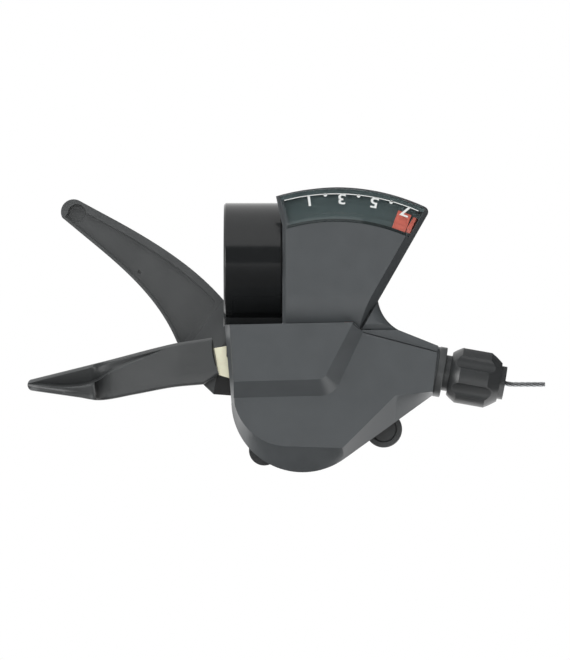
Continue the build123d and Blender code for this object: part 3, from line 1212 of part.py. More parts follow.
PIECES = {
    "clamp_band": make_clamp_band,
    "clamp_bolt": make_clamp_bolt,
    "clamp_nut": make_clamp_nut,
    "upper_housing": make_upper_housing,
    "front_cover": make_front_cover,
    "indicator_window": make_indicator_window,
    "indicator_base": make_indicator_base,
    "indicator_needle": make_needle,
    "needle_screw": make_needle_screw,
    "base_housing": make_base_housing,
    "base_plate": make_base_plate,
    "bracket_screws": make_bracket_screws,
    "cover_screws": make_cover_screws,
    "cable_plug": make_cable_plug,
    "main_axle": make_axle,
    "axle_washer": make_axle_washer,
    "axle_nut": make_axle_nut,
    "lever_bush": make_lever_bush,
    "cable_drum": make_cable_drum,
    "ratchet_wheel": make_ratchet,
    "drum_spring": make_drum_spring,
    "inner_cable": make_inner_cable,
    "hold_pawl": make_hold_pawl,
    "hold_pawl_post": make_hold_pawl_post,
    "drive_pawl": make_drive_pawl,
    "drive_pawl_pin": make_drive_pawl_pin,
    "main_lever_plate": make_main_lever_plate,
    "main_lever": make_main_lever,
    "main_lever_spring": make_main_lever_spring,
    "hold_pawl_spring": make_hold_pawl_spring,
    "drive_pawl_spring": make_drive_pawl_spring,
    "release_plate": make_release_plate,
    "release_lever": make_release_lever,
    "adjuster_collar": make_adjuster_collar,
    "detent_sleeve": make_detent_sleeve,
    "barrel_adjuster": make_barrel_adjuster,
}

os.makedirs("parts", exist_ok=True)
for name, make in PIECES.items():
    export_step(make(), f"parts/{name}.step")
    print("made", name)
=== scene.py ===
# %% [markdown]
# # A trigger gear shifter
# A right-hand, seven-speed trigger shifter sits on a bicycle's handlebar. A split ring clamps it, a
# fan-shaped dial shows the gear, and two levers turn a drum that pulls the wire.
# The solids come from the imported frame, in metres, with the middle of the handlebar as the origin.
# Most of them are only dressed here, with soft edges and finishes, so they keep their real sizes. The
# finger lever, the lens over the dial and the wire are modelled again on the same outlines, because their
# forms are finer than the solids'. The print on the dial and the masks behind the lens are added, and so is
# a black strip that paints the shadow in the seam under the ring.

# %% Load the solids
import json
import math

import bmesh
import bpy
from mathutils import Matrix, Vector


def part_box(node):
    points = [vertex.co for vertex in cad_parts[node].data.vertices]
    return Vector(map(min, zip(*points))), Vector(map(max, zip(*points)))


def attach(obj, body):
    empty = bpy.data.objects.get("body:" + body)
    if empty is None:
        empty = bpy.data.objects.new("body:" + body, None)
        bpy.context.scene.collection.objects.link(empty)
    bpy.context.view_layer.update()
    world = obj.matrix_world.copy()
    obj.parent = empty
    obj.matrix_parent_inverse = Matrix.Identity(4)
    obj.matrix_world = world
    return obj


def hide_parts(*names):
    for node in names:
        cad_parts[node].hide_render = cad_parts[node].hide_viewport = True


MM = 0.001
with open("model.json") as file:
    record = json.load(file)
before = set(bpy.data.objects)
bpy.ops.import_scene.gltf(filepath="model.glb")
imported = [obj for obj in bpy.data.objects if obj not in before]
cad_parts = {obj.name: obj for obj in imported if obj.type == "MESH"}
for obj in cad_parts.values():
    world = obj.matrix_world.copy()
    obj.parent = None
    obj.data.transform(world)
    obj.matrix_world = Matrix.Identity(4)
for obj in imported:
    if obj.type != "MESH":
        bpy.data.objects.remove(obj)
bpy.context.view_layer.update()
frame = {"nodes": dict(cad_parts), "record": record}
nodes = frame["nodes"]
print("solids:", len(nodes))

# %% [markdown]
# ## The camera
# The photograph looks square-on at the cover, along the +Y axis, with no visible perspective.
# An orthographic camera would do that too, but a long lens from far away is what a studio uses, and it
# keeps the slight sense of depth. The picture is 660 pixels high and one pixel is 0.24 mm on the object.

# %% Place the camera
PHOTO_HIGH = 660
PIXEL = 0.24 * MM
VIEW_CENTRE = Vector((7.68, -12.0, -16.56)) * MM
VIEW_DISTANCE = 1.6
SENSOR = 36.0

camera_data = bpy.data.cameras.new("camera")
camera_data.sensor_width = SENSOR
camera_data.lens = SENSOR * VIEW_DISTANCE / (PHOTO_HIGH * PIXEL)
camera = bpy.data.objects.new("camera", camera_data)
camera.location = VIEW_CENTRE - Vector((0, VIEW_DISTANCE, 0))
camera.rotation_euler = (math.radians(90), 0, 0)
scene = bpy.context.scene
scene.collection.objects.link(camera)
scene.camera = camera
scene.view_settings.view_transform = "Standard"
print("lens:", round(camera_data.lens), "mm")

# %% [markdown]
# ## The studio
# The photograph has a pure white background. Light could be poured on until the paper clips, but that
# would wash out the object, so the world is white only for the eye, for mirrors and for glass, and gives
# a softer light to matt surfaces. A pale floor below the picture takes the shadow.

# %% Light the world
WORLD_FILL = 0.24

world = bpy.data.worlds.new("white_studio")
world.use_nodes = True
scene.world = world
world_tree = world.node_tree
backdrop = world_tree.nodes["Background"]
backdrop.inputs["Color"].default_value = (1, 1, 1, 1)
rays = world_tree.nodes.new("ShaderNodeLightPath")
seen = rays.outputs["Is Camera Ray"]
for kind in ("Is Glossy Ray", "Is Transmission Ray"):
    either = world_tree.nodes.new("ShaderNodeMath")
    either.operation = "MAXIMUM"
    world_tree.links.new(seen, either.inputs[0])
    world_tree.links.new(rays.outputs[kind], either.inputs[1])
    seen = either.outputs[0]
strength = world_tree.nodes.new("ShaderNodeMapRange")
strength.inputs["To Min"].default_value = WORLD_FILL
strength.inputs["To Max"].default_value = 1.0
world_tree.links.new(seen, strength.inputs["Value"])
world_tree.links.new(strength.outputs["Result"], backdrop.inputs["Strength"])
print("world fill:", WORLD_FILL)

# %% [markdown]
# Four soft boxes give the shape: a large one overhead, a smaller one at each side, and one above the
# camera. A soft box is an area lamp: its size makes the edge of a shadow soft. Only the left one shows in
# mirrors, as a thin bright line along rounded edges; the others don't, because the gloss ring mirrors an
# even ceiling. None shows through the lens, where a lamp would leave streaks.

# %% Hang the soft boxes
def soft_box(name, place, size, power):
    """An area lamp that looks at the middle of the object."""
    lamp_data = bpy.data.lights.new(name, "AREA")
    lamp_data.size = size
    lamp_data.energy = power
    lamp = bpy.data.objects.new(name, lamp_data)
    lamp.location = place
    aim = VIEW_CENTRE - lamp.location
    lamp.rotation_euler = aim.to_track_quat("-Z", "Y").to_euler()
    scene.collection.objects.link(lamp)
    return lamp


# Name, place and size in metres, power in watts, and whether mirrors show it
SOFT_BOXES = (
    ("box_above", (0.05, -0.7, 1.1), 0.9, 9.0, False),
    ("box_left", (-1.15, -0.4, 0.1), 0.5, 4.0, True),
    ("box_right", (1.15, -0.35, 0.0), 0.6, 1.5, False),
    ("box_front", (-0.1, -1.5, 0.35), 0.6, 10.5, False),
)
for name, place, size, power, mirrored in SOFT_BOXES:
    lamp = soft_box(name, place, size, power)
    lamp.visible_glossy = mirrored
    lamp.visible_transmission = False
print("soft boxes:", len(SOFT_BOXES))

# %% [markdown]
# Gloss black shows only what it mirrors. The ring mirrors a light ceiling in its upper half, and below that
# a dark room and the object's own shadow on the table. So a dark cloth hangs behind the camera and a dark
# card stands at the object's right. A dark sheet under the object is a painted shadow: it stands in for the
# object's shadow on the floor, which the white floor doesn't show in mirrors. The camera sees none of the
# three and they cast no shadow. The cloth and the painted shadow leave the matt surfaces all their light,
# and the card takes some from the right sides. The floor keeps its plain shadow, but in mirrors and through
# the lens it is as white as the world.

# %% Lay the floor, hang the dark sheets and lay the painted shadow
def sheet(name, corners, colour, roughness):
    """A flat four-cornered sheet of the studio."""
    mesh = bpy.data.meshes.new(name)
    mesh.from_pydata(corners, [], [(0, 1, 2, 3)])
    obj = bpy.data.objects.new(name, mesh)
    scene.collection.objects.link(obj)
    material = bpy.data.materials.new(name)
    material.use_nodes = True
    shader = material.node_tree.nodes["Principled BSDF"]
    shader.inputs["Base Color"].default_value = (*colour, 1)
    shader.inputs["Roughness"].default_value = roughness
    mesh.materials.append(material)
    return obj


def white_in_mirrors(obj):
    """Lets a sheet look pure white in a mirror or through glass, and plain elsewhere."""
    tree = obj.data.materials[0].node_tree
    shader = tree.nodes["Principled BSDF"]
    shader.inputs["Emission Color"].default_value = (1, 1, 1, 1)
    path = tree.nodes.new("ShaderNodeLightPath")
    mirrored = tree.nodes.new("ShaderNodeMath")
    mirrored.operation = "MAXIMUM"
    tree.links.new(path.outputs["Is Glossy Ray"], mirrored.inputs[0])
    tree.links.new(path.outputs["Is Transmission Ray"], mirrored.inputs[1])
    tree.links.new(mirrored.outputs[0], shader.inputs["Emission Strength"])


def level(left, right, front, back, height):
    """The corners of a sheet that lies flat."""
    return [(left, front, height), (right, front, height), (right, back, height), (left, back, height)]


MATT = 1.0
FLOOR_Z = -0.125
FLOOR_EDGES = (-0.9, 0.9, -1.2, 0.3)
FLOOR_PALE = (0.85, 0.85, 0.85)
FLOOR_ROUGH = 0.9
floor = sheet("floor", level(*FLOOR_EDGES, FLOOR_Z), FLOOR_PALE, FLOOR_ROUGH)
white_in_mirrors(floor)
CLOTH_Y = -2.2
CLOTH_HALF = 5.0
CLOTH_TOP = 1.25
CLOTH_GREY = (0.2, 0.21, 0.215)
cloth = sheet(
    "dark_cloth",
    [
        (-CLOTH_HALF, CLOTH_Y, FLOOR_Z),
        (CLOTH_HALF, CLOTH_Y, FLOOR_Z),
        (CLOTH_HALF, CLOTH_Y, CLOTH_TOP),
        (-CLOTH_HALF, CLOTH_Y, CLOTH_TOP),
    ],
    CLOTH_GREY,
    MATT,
)
# A dark sheet that paints the object's shadow on the floor, for mirrors and the lens only.
SHADOW_SHEET_RISE = 0.001
SHADOW_SHEET_EDGES = (-0.09, 0.055, CLOTH_Y, 0.03)
SHADOW_SHEET_GREY = (0.16, 0.16, 0.16)
shadow_sheet = sheet("painted_shadow_sheet", level(*SHADOW_SHEET_EDGES, FLOOR_Z + SHADOW_SHEET_RISE), SHADOW_SHEET_GREY, MATT)
CARD_X = 0.17
CARD_BACK = 1.0
CARD_TOP = 0.9
CARD_GREY = (0.1, 0.1, 0.1)
card = sheet(
    "dark_card",
    [
        (CARD_X, CLOTH_Y, FLOOR_Z),
        (CARD_X, CARD_BACK, FLOOR_Z),
        (CARD_X, CARD_BACK, CARD_TOP),
        (CARD_X, CLOTH_Y, CARD_TOP),
    ],
    CARD_GREY,
    MATT,
)
for dark in (cloth, shadow_sheet, card):
    dark.visible_camera = False
    dark.visible_diffuse = dark is card
    dark.visible_shadow = False
print("floor at", FLOOR_Z, "m")

# %% [markdown]
# ## Finishes
# Every finish starts from the same few parts: a noise in object space for the grain, a range that turns it
# into roughness, a pair of close colours, and a bump. Object space is in metres and doesn't depend on the
# view, so a grain of 0.2 mm stays 0.2 mm from every side. Most of a noise lies near its middle, so only the
# middle part is spread out.

# %% Helpers for a finish
NOISE_LOW = 0.3
NOISE_HIGH = 0.7
NOISE_DETAIL = 2.0


def new_finish(name):
    """A fresh material: itself, its node tree and its shader."""
    material = bpy.data.materials.new(name)
    material.use_nodes = True
    return material, material.node_tree, material.node_tree.nodes["Principled BSDF"]


def grain(tree, size, stretch=(1, 1, 1)):
    """A noise from 0 to 1 whose cells are about as large as size, in metres."""
    place = tree.nodes.new("ShaderNodeTexCoord")
    scaling = tree.nodes.new("ShaderNodeMapping")
    scaling.inputs["Scale"].default_value = stretch
    speckle = tree.nodes.new("ShaderNodeTexNoise")
    speckle.inputs["Scale"].default_value = 1 / size
    speckle.inputs["Detail"].default_value = NOISE_DETAIL
    tree.links.new(place.outputs["Object"], scaling.inputs["Vector"])
    tree.links.new(scaling.outputs["Vector"], speckle.inputs["Vector"])
    return speckle.outputs[0]


def spread(tree, value, low, high, socket):
    """Sends a value from 0 to 1 into a socket as a range from low to high."""
    span = tree.nodes.new("ShaderNodeMapRange")
    span.inputs["From Min"].default_value = NOISE_LOW
    span.inputs["From Max"].default_value = NOISE_HIGH
    span.inputs["To Min"].default_value = low
    span.inputs["To Max"].default_value = high
    tree.links.new(value, span.inputs["Value"])
    tree.links.new(span.outputs["Result"], socket)


def mottle(tree, value, colour, share, socket):
    """Sends a colour into a socket, a share darker and lighter with the value."""
    ramp = tree.nodes.new("ShaderNodeValToRGB")
    stops = ramp.color_ramp.elements
    for stop, factor, place in zip(stops, (1 - share, 1 + share), (NOISE_LOW, NOISE_HIGH)):
        stop.position = place
        stop.color = (*(channel * factor for channel in colour), 1)
    tree.links.new(value, ramp.inputs["Fac"])
    tree.links.new(ramp.outputs["Color"], socket)


def relief(tree, value, depth, shader):
    """Roughens a surface by a bump of the given depth in metres."""
    bump = tree.nodes.new("ShaderNodeBump")
    bump.inputs["Distance"].default_value = depth
    bump.inputs["Strength"].default_value = 1.0
    tree.links.new(value, bump.inputs["Height"])
    tree.links.new(bump.outputs["Normal"], shader.inputs["Normal"])


print("helpers: grain, spread, mottle, relief")

# %% [markdown]
# Most pieces are moulded plastic. The mould's own surface gives the grain: spark-eroded on the grey cover,
# finer on the black levers. Each could have a finish of its own, but only colour, gloss and grain differ,
# so one function makes them all. The dial and its needle get little sheen, as they lie behind the lens.

# %% Moulded plastics
SHEEN = 0.7
DULL = 0.2
CLOUD_GRAINS = 40


def moulded(name, colour, share, gloss, grain_size, grain_depth, sheen=SHEEN):
    """A plastic moulding: a close pair of colours, a range of roughness and a fine grain."""
    material, tree, shader = new_finish(name)
    cloud = grain(tree, CLOUD_GRAINS * grain_size)
    fine = grain(tree, grain_size)
    mottle(tree, cloud, colour, share, shader.inputs["Base Color"])
    spread(tree, cloud, gloss[0], gloss[1], shader.inputs["Roughness"])
    relief(tree, fine, grain_depth, shader)
    shader.inputs["Specular IOR Level"].default_value = sheen
    return material


# Name, colour, share of mottle, range of roughness, size and depth of the grain, and sheen
cover_grey = moulded("cover_grey", (0.066, 0.072, 0.076), 0.05, (0.33, 0.39), 0.12 * MM, 0.0035 * MM)
moulded_black = moulded("moulded_black", (0.034, 0.036, 0.037), 0.08, (0.3, 0.36), 0.15 * MM, 0.002 * MM)
lever_black = moulded("lever_black", (0.06, 0.063, 0.064), 0.06, (0.3, 0.36), 0.15 * MM, 0.002 * MM)
dial_black = moulded("dial_black", (0.1, 0.127, 0.129), 0.06, (0.5, 0.58), 0.1 * MM, 0.002 * MM, DULL)
needle_red = moulded("needle_red", (0.68, 0.16, 0.12), 0.05, (0.28, 0.34), 0.3 * MM, 0.001 * MM, DULL)
drum_white = moulded("drum_white", (0.72, 0.72, 0.69), 0.03, (0.4, 0.46), 0.3 * MM, 0.002 * MM)
print("plastics: 6")

# %% [markdown]
# The ring and the black screws are painted metal. Paint is a smooth skin, so it has a hard gloss and only the
# slightest wave. Real waves in the mesh would take too many faces, so a wide, shallow noise gives them.

# %% Gloss paint
PAINT_WAVE = 3 * MM
PAINT_WAVE_DEEP = 0.004 * MM
PAINT_SHADE = 0.1
PAINT_HAZE = 0.4 * MM
PAINT_HAZE_SPAN = 0.04


def gloss_paint(name, colour, roughness):
    """Stoved gloss paint with a faint wave in its skin."""
    material, tree, shader = new_finish(name)
    wave = grain(tree, PAINT_WAVE)
    haze = grain(tree, PAINT_HAZE)
    mottle(tree, wave, colour, PAINT_SHADE, shader.inputs["Base Color"])
    spread(tree, haze, roughness, roughness + PAINT_HAZE_SPAN, shader.inputs["Roughness"])
    relief(tree, wave, PAINT_WAVE_DEEP, shader)
    return material


band_black = gloss_paint("band_black", (0.011, 0.012, 0.0125), 0.14)
black_steel = gloss_paint("black_steel", (0.022, 0.022, 0.023), 0.3)
print("paints: 2")

# %% [markdown]
# The bare metals differ by colour and by the marks of their making: rolled sheet, drawn wire, turned brass.
# Marks along one axis come from a noise that is stretched along that axis. The yellow coat on the zinc plate
# is a chalky skin that hides the mirror of the metal, so that plate isn't metallic.

# %% Bare metals
MARK_SIZE = 0.15 * MM
MARK_DEEP = 0.001 * MM
STAIN_SIZE = 2 * MM
STAIN_SHADE = 0.06


def bare_metal(name, colour, gloss, stretch, metallic=1.0):
    """A metal with fine marks along one axis."""
    material, tree, shader = new_finish(name)
    shader.inputs["Metallic"].default_value = metallic
    marks = grain(tree, MARK_SIZE, stretch)
    stain = grain(tree, STAIN_SIZE)
    mottle(tree, stain, colour, STAIN_SHADE, shader.inputs["Base Color"])
    spread(tree, marks, gloss[0], gloss[1], shader.inputs["Roughness"])
    relief(tree, marks, MARK_DEEP, shader)
    return material


plain_steel = bare_metal("plain_steel", (0.55, 0.55, 0.56), (0.28, 0.4), (0.1, 1, 1))
yellow_zinc = bare_metal("yellow_zinc", (1.0, 0.97, 0.74), (0.4, 0.5), (1, 1, 0.2), metallic=0.0)
bush_brass = bare_metal("bush_brass", (0.75, 0.57, 0.27), (0.25, 0.35), (1, 0.1, 1))
spring_steel = bare_metal("spring_steel", (0.45, 0.45, 0.46), (0.25, 0.35), (1, 0.2, 1))
cable_steel = bare_metal("cable_steel", (0.42, 0.43, 0.44), (0.3, 0.4), (0.2, 1, 1))
print("metals: 5")

# %% [markdown]
# The lens over the dial is clear acrylic. It could be faked with a see-through mix, but real refraction is
# what bends the red flag at the lens's sloping edge, so the shader transmits light.

# %% Clear lens
ACRYLIC_TINT = (0.9, 0.94, 0.94)
ACRYLIC_IOR = 1.49
ACRYLIC_HAZE = 0.5 * MM
ACRYLIC_ROUGH = (0.02, 0.05)

window_clear, lens_tree, lens_shader = new_finish("window_clear")
lens_shader.inputs["Base Color"].default_value = (*ACRYLIC_TINT, 1)
lens_shader.inputs["Transmission Weight"].default_value = 1.0
lens_shader.inputs["IOR"].default_value = ACRYLIC_IOR
spread(lens_tree, grain(lens_tree, ACRYLIC_HAZE), *ACRYLIC_ROUGH, lens_shader.inputs["Roughness"])
print("lens: acrylic")

# %% [markdown]
# ## Dress the solids
# Each solid already names the slot of its finish, so one loop puts the finishes on. The thumb lever, the
# plug and the collar are a greyer black than the tub and the knob, so they get that finish afterwards.

# %% Put the finishes on
FINISHES = {
    "band_black": band_black,
    "cover_grey": cover_grey,
    "moulded_black": moulded_black,
    "window_clear": window_clear,
    "dial_black": dial_black,
    "needle_red": needle_red,
    "black_steel": black_steel,
    "plain_steel": plain_steel,
    "yellow_zinc": yellow_zinc,
    "bush_brass": bush_brass,
    "drum_white": drum_white,
    "spring_steel": spring_steel,
    "cable_steel": cable_steel,
}
for part in frame["record"]["subparts"]:
    for material_slot in nodes[part["node"]].material_slots:
        material_slot.material = FINISHES[part["material_slot"]]
GREYER = ("main_lever", "cable_plug", "adjuster_collar")
for name in GREYER:
    nodes[name].material_slots[0].material = lever_black

# %% [markdown]
# A moulding has no knife edges: each corner of the mould leaves a small round, and that round is what
# catches the light along an edge. The solids have sharp edges, so modifiers round them without touching
# their vertices: weld the split corners, dissolve the flat triangles, bevel what is sharp, and weight the
# normals.

# %% Round the edges
WELD_GAP = 0.002 * MM
FLAT_ANGLE = math.radians(0.6)
ROUND_SEGMENTS = 2


def soften(name, width, angle):
    """Rounds a solid's sharp edges by width, in metres, with modifiers alone."""
    obj = nodes[name]
    weld = obj.modifiers.new("weld", "WELD")
    weld.merge_threshold = WELD_GAP
    flat = obj.modifiers.new("flat", "DECIMATE")
    flat.decimate_type = "DISSOLVE"
    flat.angle_limit = FLAT_ANGLE
    bevel = obj.modifiers.new("round", "BEVEL")
    bevel.width = width
    bevel.segments = ROUND_SEGMENTS
    bevel.limit_method = "ANGLE"
    bevel.angle_limit = math.radians(angle)
    bevel.use_clamp_overlap = True
    bevel.miter_outer = "MITER_ARC"
    normals = obj.modifiers.new("normals", "WEIGHTED_NORMAL")
    normals.keep_sharp = False


# Width of the round in millimetres, and the smallest angle in degrees that is rounded
SOFT_EDGES = {
    "clamp_band": (0.3, 32),
    "upper_housing": (0.5, 22),
    "front_cover": (0.4, 16),
    "base_housing": (0.3, 32),
    "main_lever": (0.4, 62),
    "release_plate": (0.15, 32),
    "cable_plug": (0.25, 32),
    "adjuster_collar": (0.4, 32),
    "detent_sleeve": (0.15, 32),
    "barrel_adjuster": (0.3, 32),
    "indicator_needle": (0.1, 32),
    "clamp_bolt": (0.2, 32),
    "clamp_nut": (0.2, 32),
    "cover_screws": (0.15, 32),
    "bracket_screws": (0.15, 32),
    "axle_nut": (0.2, 32),
}
for name, (width, angle) in SOFT_EDGES.items():
    soften(name, width * MM, angle)
print("softened:", len(SOFT_EDGES))

# %% [markdown]
# ## The finger lever
# The short lever is moulded to a fingertip: its end is scooped out above a ridge, a lip rounds off below the
# ridge, and a cove runs from the lip into the flat arm. A grid could be sculpted by hand, but here each form
# is one line of the cross-section, so the lever is a row of closed sections from its root to its tip.
# The edges follow the solid's own outline, and the steel plate behind stays as it is.

# %% Curves of the finger lever
def steps(points, x):
    """The height at x on straight runs through points that go from high x to low x."""
    for (x0, h0), (x1, h1) in zip(points, points[1:]):
        if x >= x1:
            return h0 + (h1 - h0) * (x - x0) / (x1 - x0)
    return points[-1][1]


def sweep(points, x):
    """The height at x on a smooth curve through points that go from high x to low x."""
    slopes = []
    for index in range(len(points)):
        before = points[max(index - 1, 0)]
        after = points[min(index + 1, len(points) - 1)]
        slopes.append((after[1] - before[1]) / (after[0] - before[0]))
    for index in range(len(points) - 1):
        (x0, h0), (x1, h1) = points[index], points[index + 1]
        if x >= x1 or index == len(points) - 2:
            run = x1 - x0
            s = (x - x0) / run
            start = (1 + 2 * s) * (1 - s) ** 2 * h0 + s * (1 - s) ** 2 * run * slopes[index]
            return start + s * s * (3 - 2 * s) * h1 + s * s * (s - 1) * run * slopes[index + 1]


ARM_TOP = ((-9.9, -18.4), (-19.4, -19.9), (-36.7, -24.3), (-53.2, -28.4))
ARM_FOOT = ((-12.0, -29.7), (-19.4, -30.4), (-28.5, -32.1), (-36.7, -33.5), (-42.0, -32.8), (-53.2, -31.2))
ARM_ROOT_TOP = Vector((-9.9, -18.4))
ARM_ROOT_FOOT = Vector((-8.2, -27.2))
ARM_RIDGE = ((-17.0, -19.4), (-33.8, -26.4), (-37.4, -28.8), (-41.5, -30.0), (-47.5, -30.2), (-57.0, -29.3))
ARM_FACE = (
    (-6.0, -5.6),
    (-17.6, -6.68),
    (-18.4, -6.7),
    (-33.0, -6.45),
    (-34.6, -6.6),
    (-35.9, -7.1),
    (-36.9, -7.9),
    (-37.7, -9.0),
    (-38.1, -9.7),
    (-38.6, -9.9),
    (-52.0, -8.6),
    (-54.3, -7.6),
)
print("finger lever:", round(ARM_TOP[0][0] - ARM_FACE[-1][0], 1), "mm long")

# %% [markdown]
# A section goes round once: from the rounded foot up the lip to the ridge, down the wall of the scoop, along
# its floor to the rounded top edge, and back behind. The lever's end is round, so the last sections shrink
# along a half ellipse. Single faces could be patched together, but a row of sections is one closed skin.

# %% Sections of the finger lever
ARM_BACK = -1.65
ARM_FLOOR = -5.9
ARM_BACK_EDGE = 0.3
ARM_ROUND = 0.8
ROUND_SHARE = 0.3
ROOT_BOW = 0.65
ROOT_STEPS = 4
LIP_DROP = 1.7
LIP_START = -35.0
LIP_FULL = -39.0
LIP_RISE = 2.0
LIP_CURVE = 1.6
LIP_PARTS = (0.25, 0.5, 0.75, 0.92)
WALL_WIDE = 0.5
WALL_SHARE = 0.4
WALL_PARTS = ((0.0, 0.02), (0.3, 0.2), (0.75, 0.8), (1.2, 1.0))
SCOOP_RISE = 0.75
SCOOP_PARTS = (0.3, 0.6, 0.85)
ROUND_TURNS = (0, 22.5, 45, 67.5, 90)
ARM_STEPS = 90
TIP_TURNS = (20, 40, 55, 70, 80, 86)
ARM_SHARP = math.radians(50)


def arm_section(foot, top, bow):
    """The closed section between two edge points, bowed towards the tip by a length in the middle."""
    height = (top - foot).length
    middle_x = (foot.x + top.x) / 2
    face = steps(ARM_FACE, middle_x)
    radius = min(ARM_ROUND, height * ROUND_SHARE)
    rise = (sweep(ARM_RIDGE, middle_x) - foot.y) / (top.y - foot.y) * height
    rise = min(rise, height - radius)
    rise = max(rise, radius)
    scoop = max(0.0, min(height - rise - radius, ARM_FLOOR - face))
    share = min(1.0, max(0.0, (LIP_START - middle_x) / (LIP_START - LIP_FULL)))
    drop = LIP_DROP * share * min(1.0, rise / LIP_RISE)
    outline = []
    for turn in ROUND_TURNS:
        a = math.radians(turn)
        outline.append((radius * (1 - math.cos(a)), face + drop + radius * (1 - math.sin(a))))
    for part in LIP_PARTS:
        outline.append((radius + (rise - radius) * part, face + drop * (1 - part) ** LIP_CURVE))
    wall = min(WALL_WIDE, (height - rise - radius) * WALL_SHARE)
    for part, depth in WALL_PARTS:
        outline.append((rise + wall * part, face + scoop * depth))
    scoop_start = outline[-1][0]
    scoop_long = height - radius - scoop_start
    crown = face + scoop * (1 - SCOOP_RISE)
    for part in SCOOP_PARTS:
        outline.append((scoop_start + scoop_long * part, face + scoop + (crown - face - scoop) * part))
    for turn in reversed(ROUND_TURNS):
        a = math.radians(turn)
        outline.append((height - radius * (1 - math.cos(a)), crown + radius * (1 - math.sin(a))))
    outline += [
        (height, ARM_BACK - ARM_BACK_EDGE),
        (height - min(ARM_BACK_EDGE, radius), ARM_BACK),
        (min(ARM_BACK_EDGE, radius), ARM_BACK),
        (0, ARM_BACK - ARM_BACK_EDGE),
    ]
    along = (top - foot) / height
    section = []
    for reach, depth in outline:
        spot = foot + along * reach
        spot.x -= bow * 4 * reach * (height - reach) / height ** 2
        section.append(Vector((spot.x, depth, spot.y)) * MM)
    return section


def arm_edges():
    """Pairs of edge points and the bow between them, from the root of the lever to its tip."""
    shoulder = ARM_FOOT[0][0]
    for step in range(ROOT_STEPS):
        share = step / ROOT_STEPS
        foot = ARM_ROOT_FOOT.lerp(Vector(ARM_FOOT[0]), share)
        top = ARM_ROOT_TOP.lerp(Vector((shoulder, sweep(ARM_TOP, shoulder))), share)
        yield foot, top, ROOT_BOW * (1 - share)
    end = ARM_TOP[-1][0]
    for step in range(ARM_STEPS + 1):
        x = shoulder + (end - shoulder) * step / ARM_STEPS
        yield Vector((x, sweep(ARM_FOOT, x))), Vector((x, sweep(ARM_TOP, x))), 0
    tip_reach = ARM_FACE[-1][0] - end
    middle = (ARM_TOP[-1][1] + ARM_FOOT[-1][1]) / 2
    half = (ARM_TOP[-1][1] - ARM_FOOT[-1][1]) / 2
    for turn in TIP_TURNS:
        a = math.radians(turn)
        x = end + tip_reach * math.sin(a)
        yield Vector((x, middle - half * math.cos(a))), Vector((x, middle + half * math.cos(a))), 0


def skin(mesh_name, sections):
    """A closed mesh over a row of closed sections, with flat ends."""
    form = bmesh.new()
    rings = []
    for section in sections:
        rings.append([form.verts.new(point) for point in section])
    for ring, following in zip(rings, rings[1:]):
        for index in range(len(ring)):
            after = (index + 1) % len(ring)
            form.faces.new((ring[index], ring[after], following[after], following[index]))
    form.faces.new(rings[0])
    form.faces.new(rings[-1])
    bmesh.ops.recalc_face_normals(form, faces=form.faces)
    mesh = bpy.data.meshes.new(mesh_name)
    form.to_mesh(mesh)
    form.free()
    mesh.shade_smooth()
    return mesh


def add_piece(name, mesh, finish, body):
    """Puts a mesh in the scene as a piece of the object."""
    mesh.materials.append(finish)
    piece = bpy.data.objects.new(name, mesh)
    scene.collection.objects.link(piece)
    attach(piece, body)
    return piece


arm_mesh = skin("finger_lever", [arm_section(*edges) for edges in arm_edges()])
arm_mesh.set_sharp_from_angle(angle=ARM_SHARP)
finger_lever = add_piece("finger_lever", arm_mesh, lever_black, "release_lever")
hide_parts("release_lever")
print("finger lever faces:", len(arm_mesh.polygons))

# %% [markdown]
# The lip casts a shadow into the cove beside it, and that shadow is painted into the colour: the cove's
# faces get a finish of their own, the lever's black darkened along the lever's length towards the lip.
# One finish over the whole lever couldn't follow the ridge so sharply.

# %% Paint the lip's shadow into the cove
COVE_START = -38.0
COVE_END = -33.6
COVE_SHADOW_FACTOR = 0.02

# The painted shadow: the lever's own colour scaled down along the lever, to a fiftieth at the lip's end.
cove_painted_shadow = lever_black.copy()
cove_painted_shadow.name = "cove_painted_shadow"
cove_tree = cove_painted_shadow.node_tree
cove_shader = cove_tree.nodes["Principled BSDF"]
cove_place = cove_tree.nodes.new("ShaderNodeTexCoord")
cove_axes = cove_tree.nodes.new("ShaderNodeSeparateXYZ")
cove_shadow_fade = cove_tree.nodes.new("ShaderNodeMapRange")
cove_shadow_fade.inputs["From Min"].default_value = COVE_START * MM
cove_shadow_fade.inputs["From Max"].default_value = COVE_END * MM
cove_shadow_fade.inputs["To Min"].default_value = COVE_SHADOW_FACTOR
cove_shadow_fade.inputs["To Max"].default_value = 1.0
cove_shadow_tint = cove_tree.nodes.new("ShaderNodeVectorMath")
cove_shadow_tint.operation = "SCALE"
unshaded_colour = cove_shader.inputs["Base Color"].links[0].from_socket
cove_tree.links.new(cove_place.outputs["Object"], cove_axes.inputs["Vector"])
cove_tree.links.new(cove_axes.outputs["X"], cove_shadow_fade.inputs["Value"])
cove_tree.links.new(unshaded_colour, cove_shadow_tint.inputs["Vector"])
cove_tree.links.new(cove_shadow_fade.outputs["Result"], cove_shadow_tint.inputs["Scale"])
cove_tree.links.new(cove_shadow_tint.outputs["Vector"], cove_shader.inputs["Base Color"])
arm_mesh.materials.append(cove_painted_shadow)
# The cove's faces in front and below the ridge get the painted shadow.
shadowed_cove_faces = 0
for face in arm_mesh.polygons:
    spot = face.center / MM
    if COVE_START < spot.x < COVE_END and face.normal.y < 0 and spot.z < sweep(ARM_RIDGE, spot.x):
        face.material_index = 1
        shadowed_cove_faces += 1
print("cove faces:", shadowed_cove_faces)

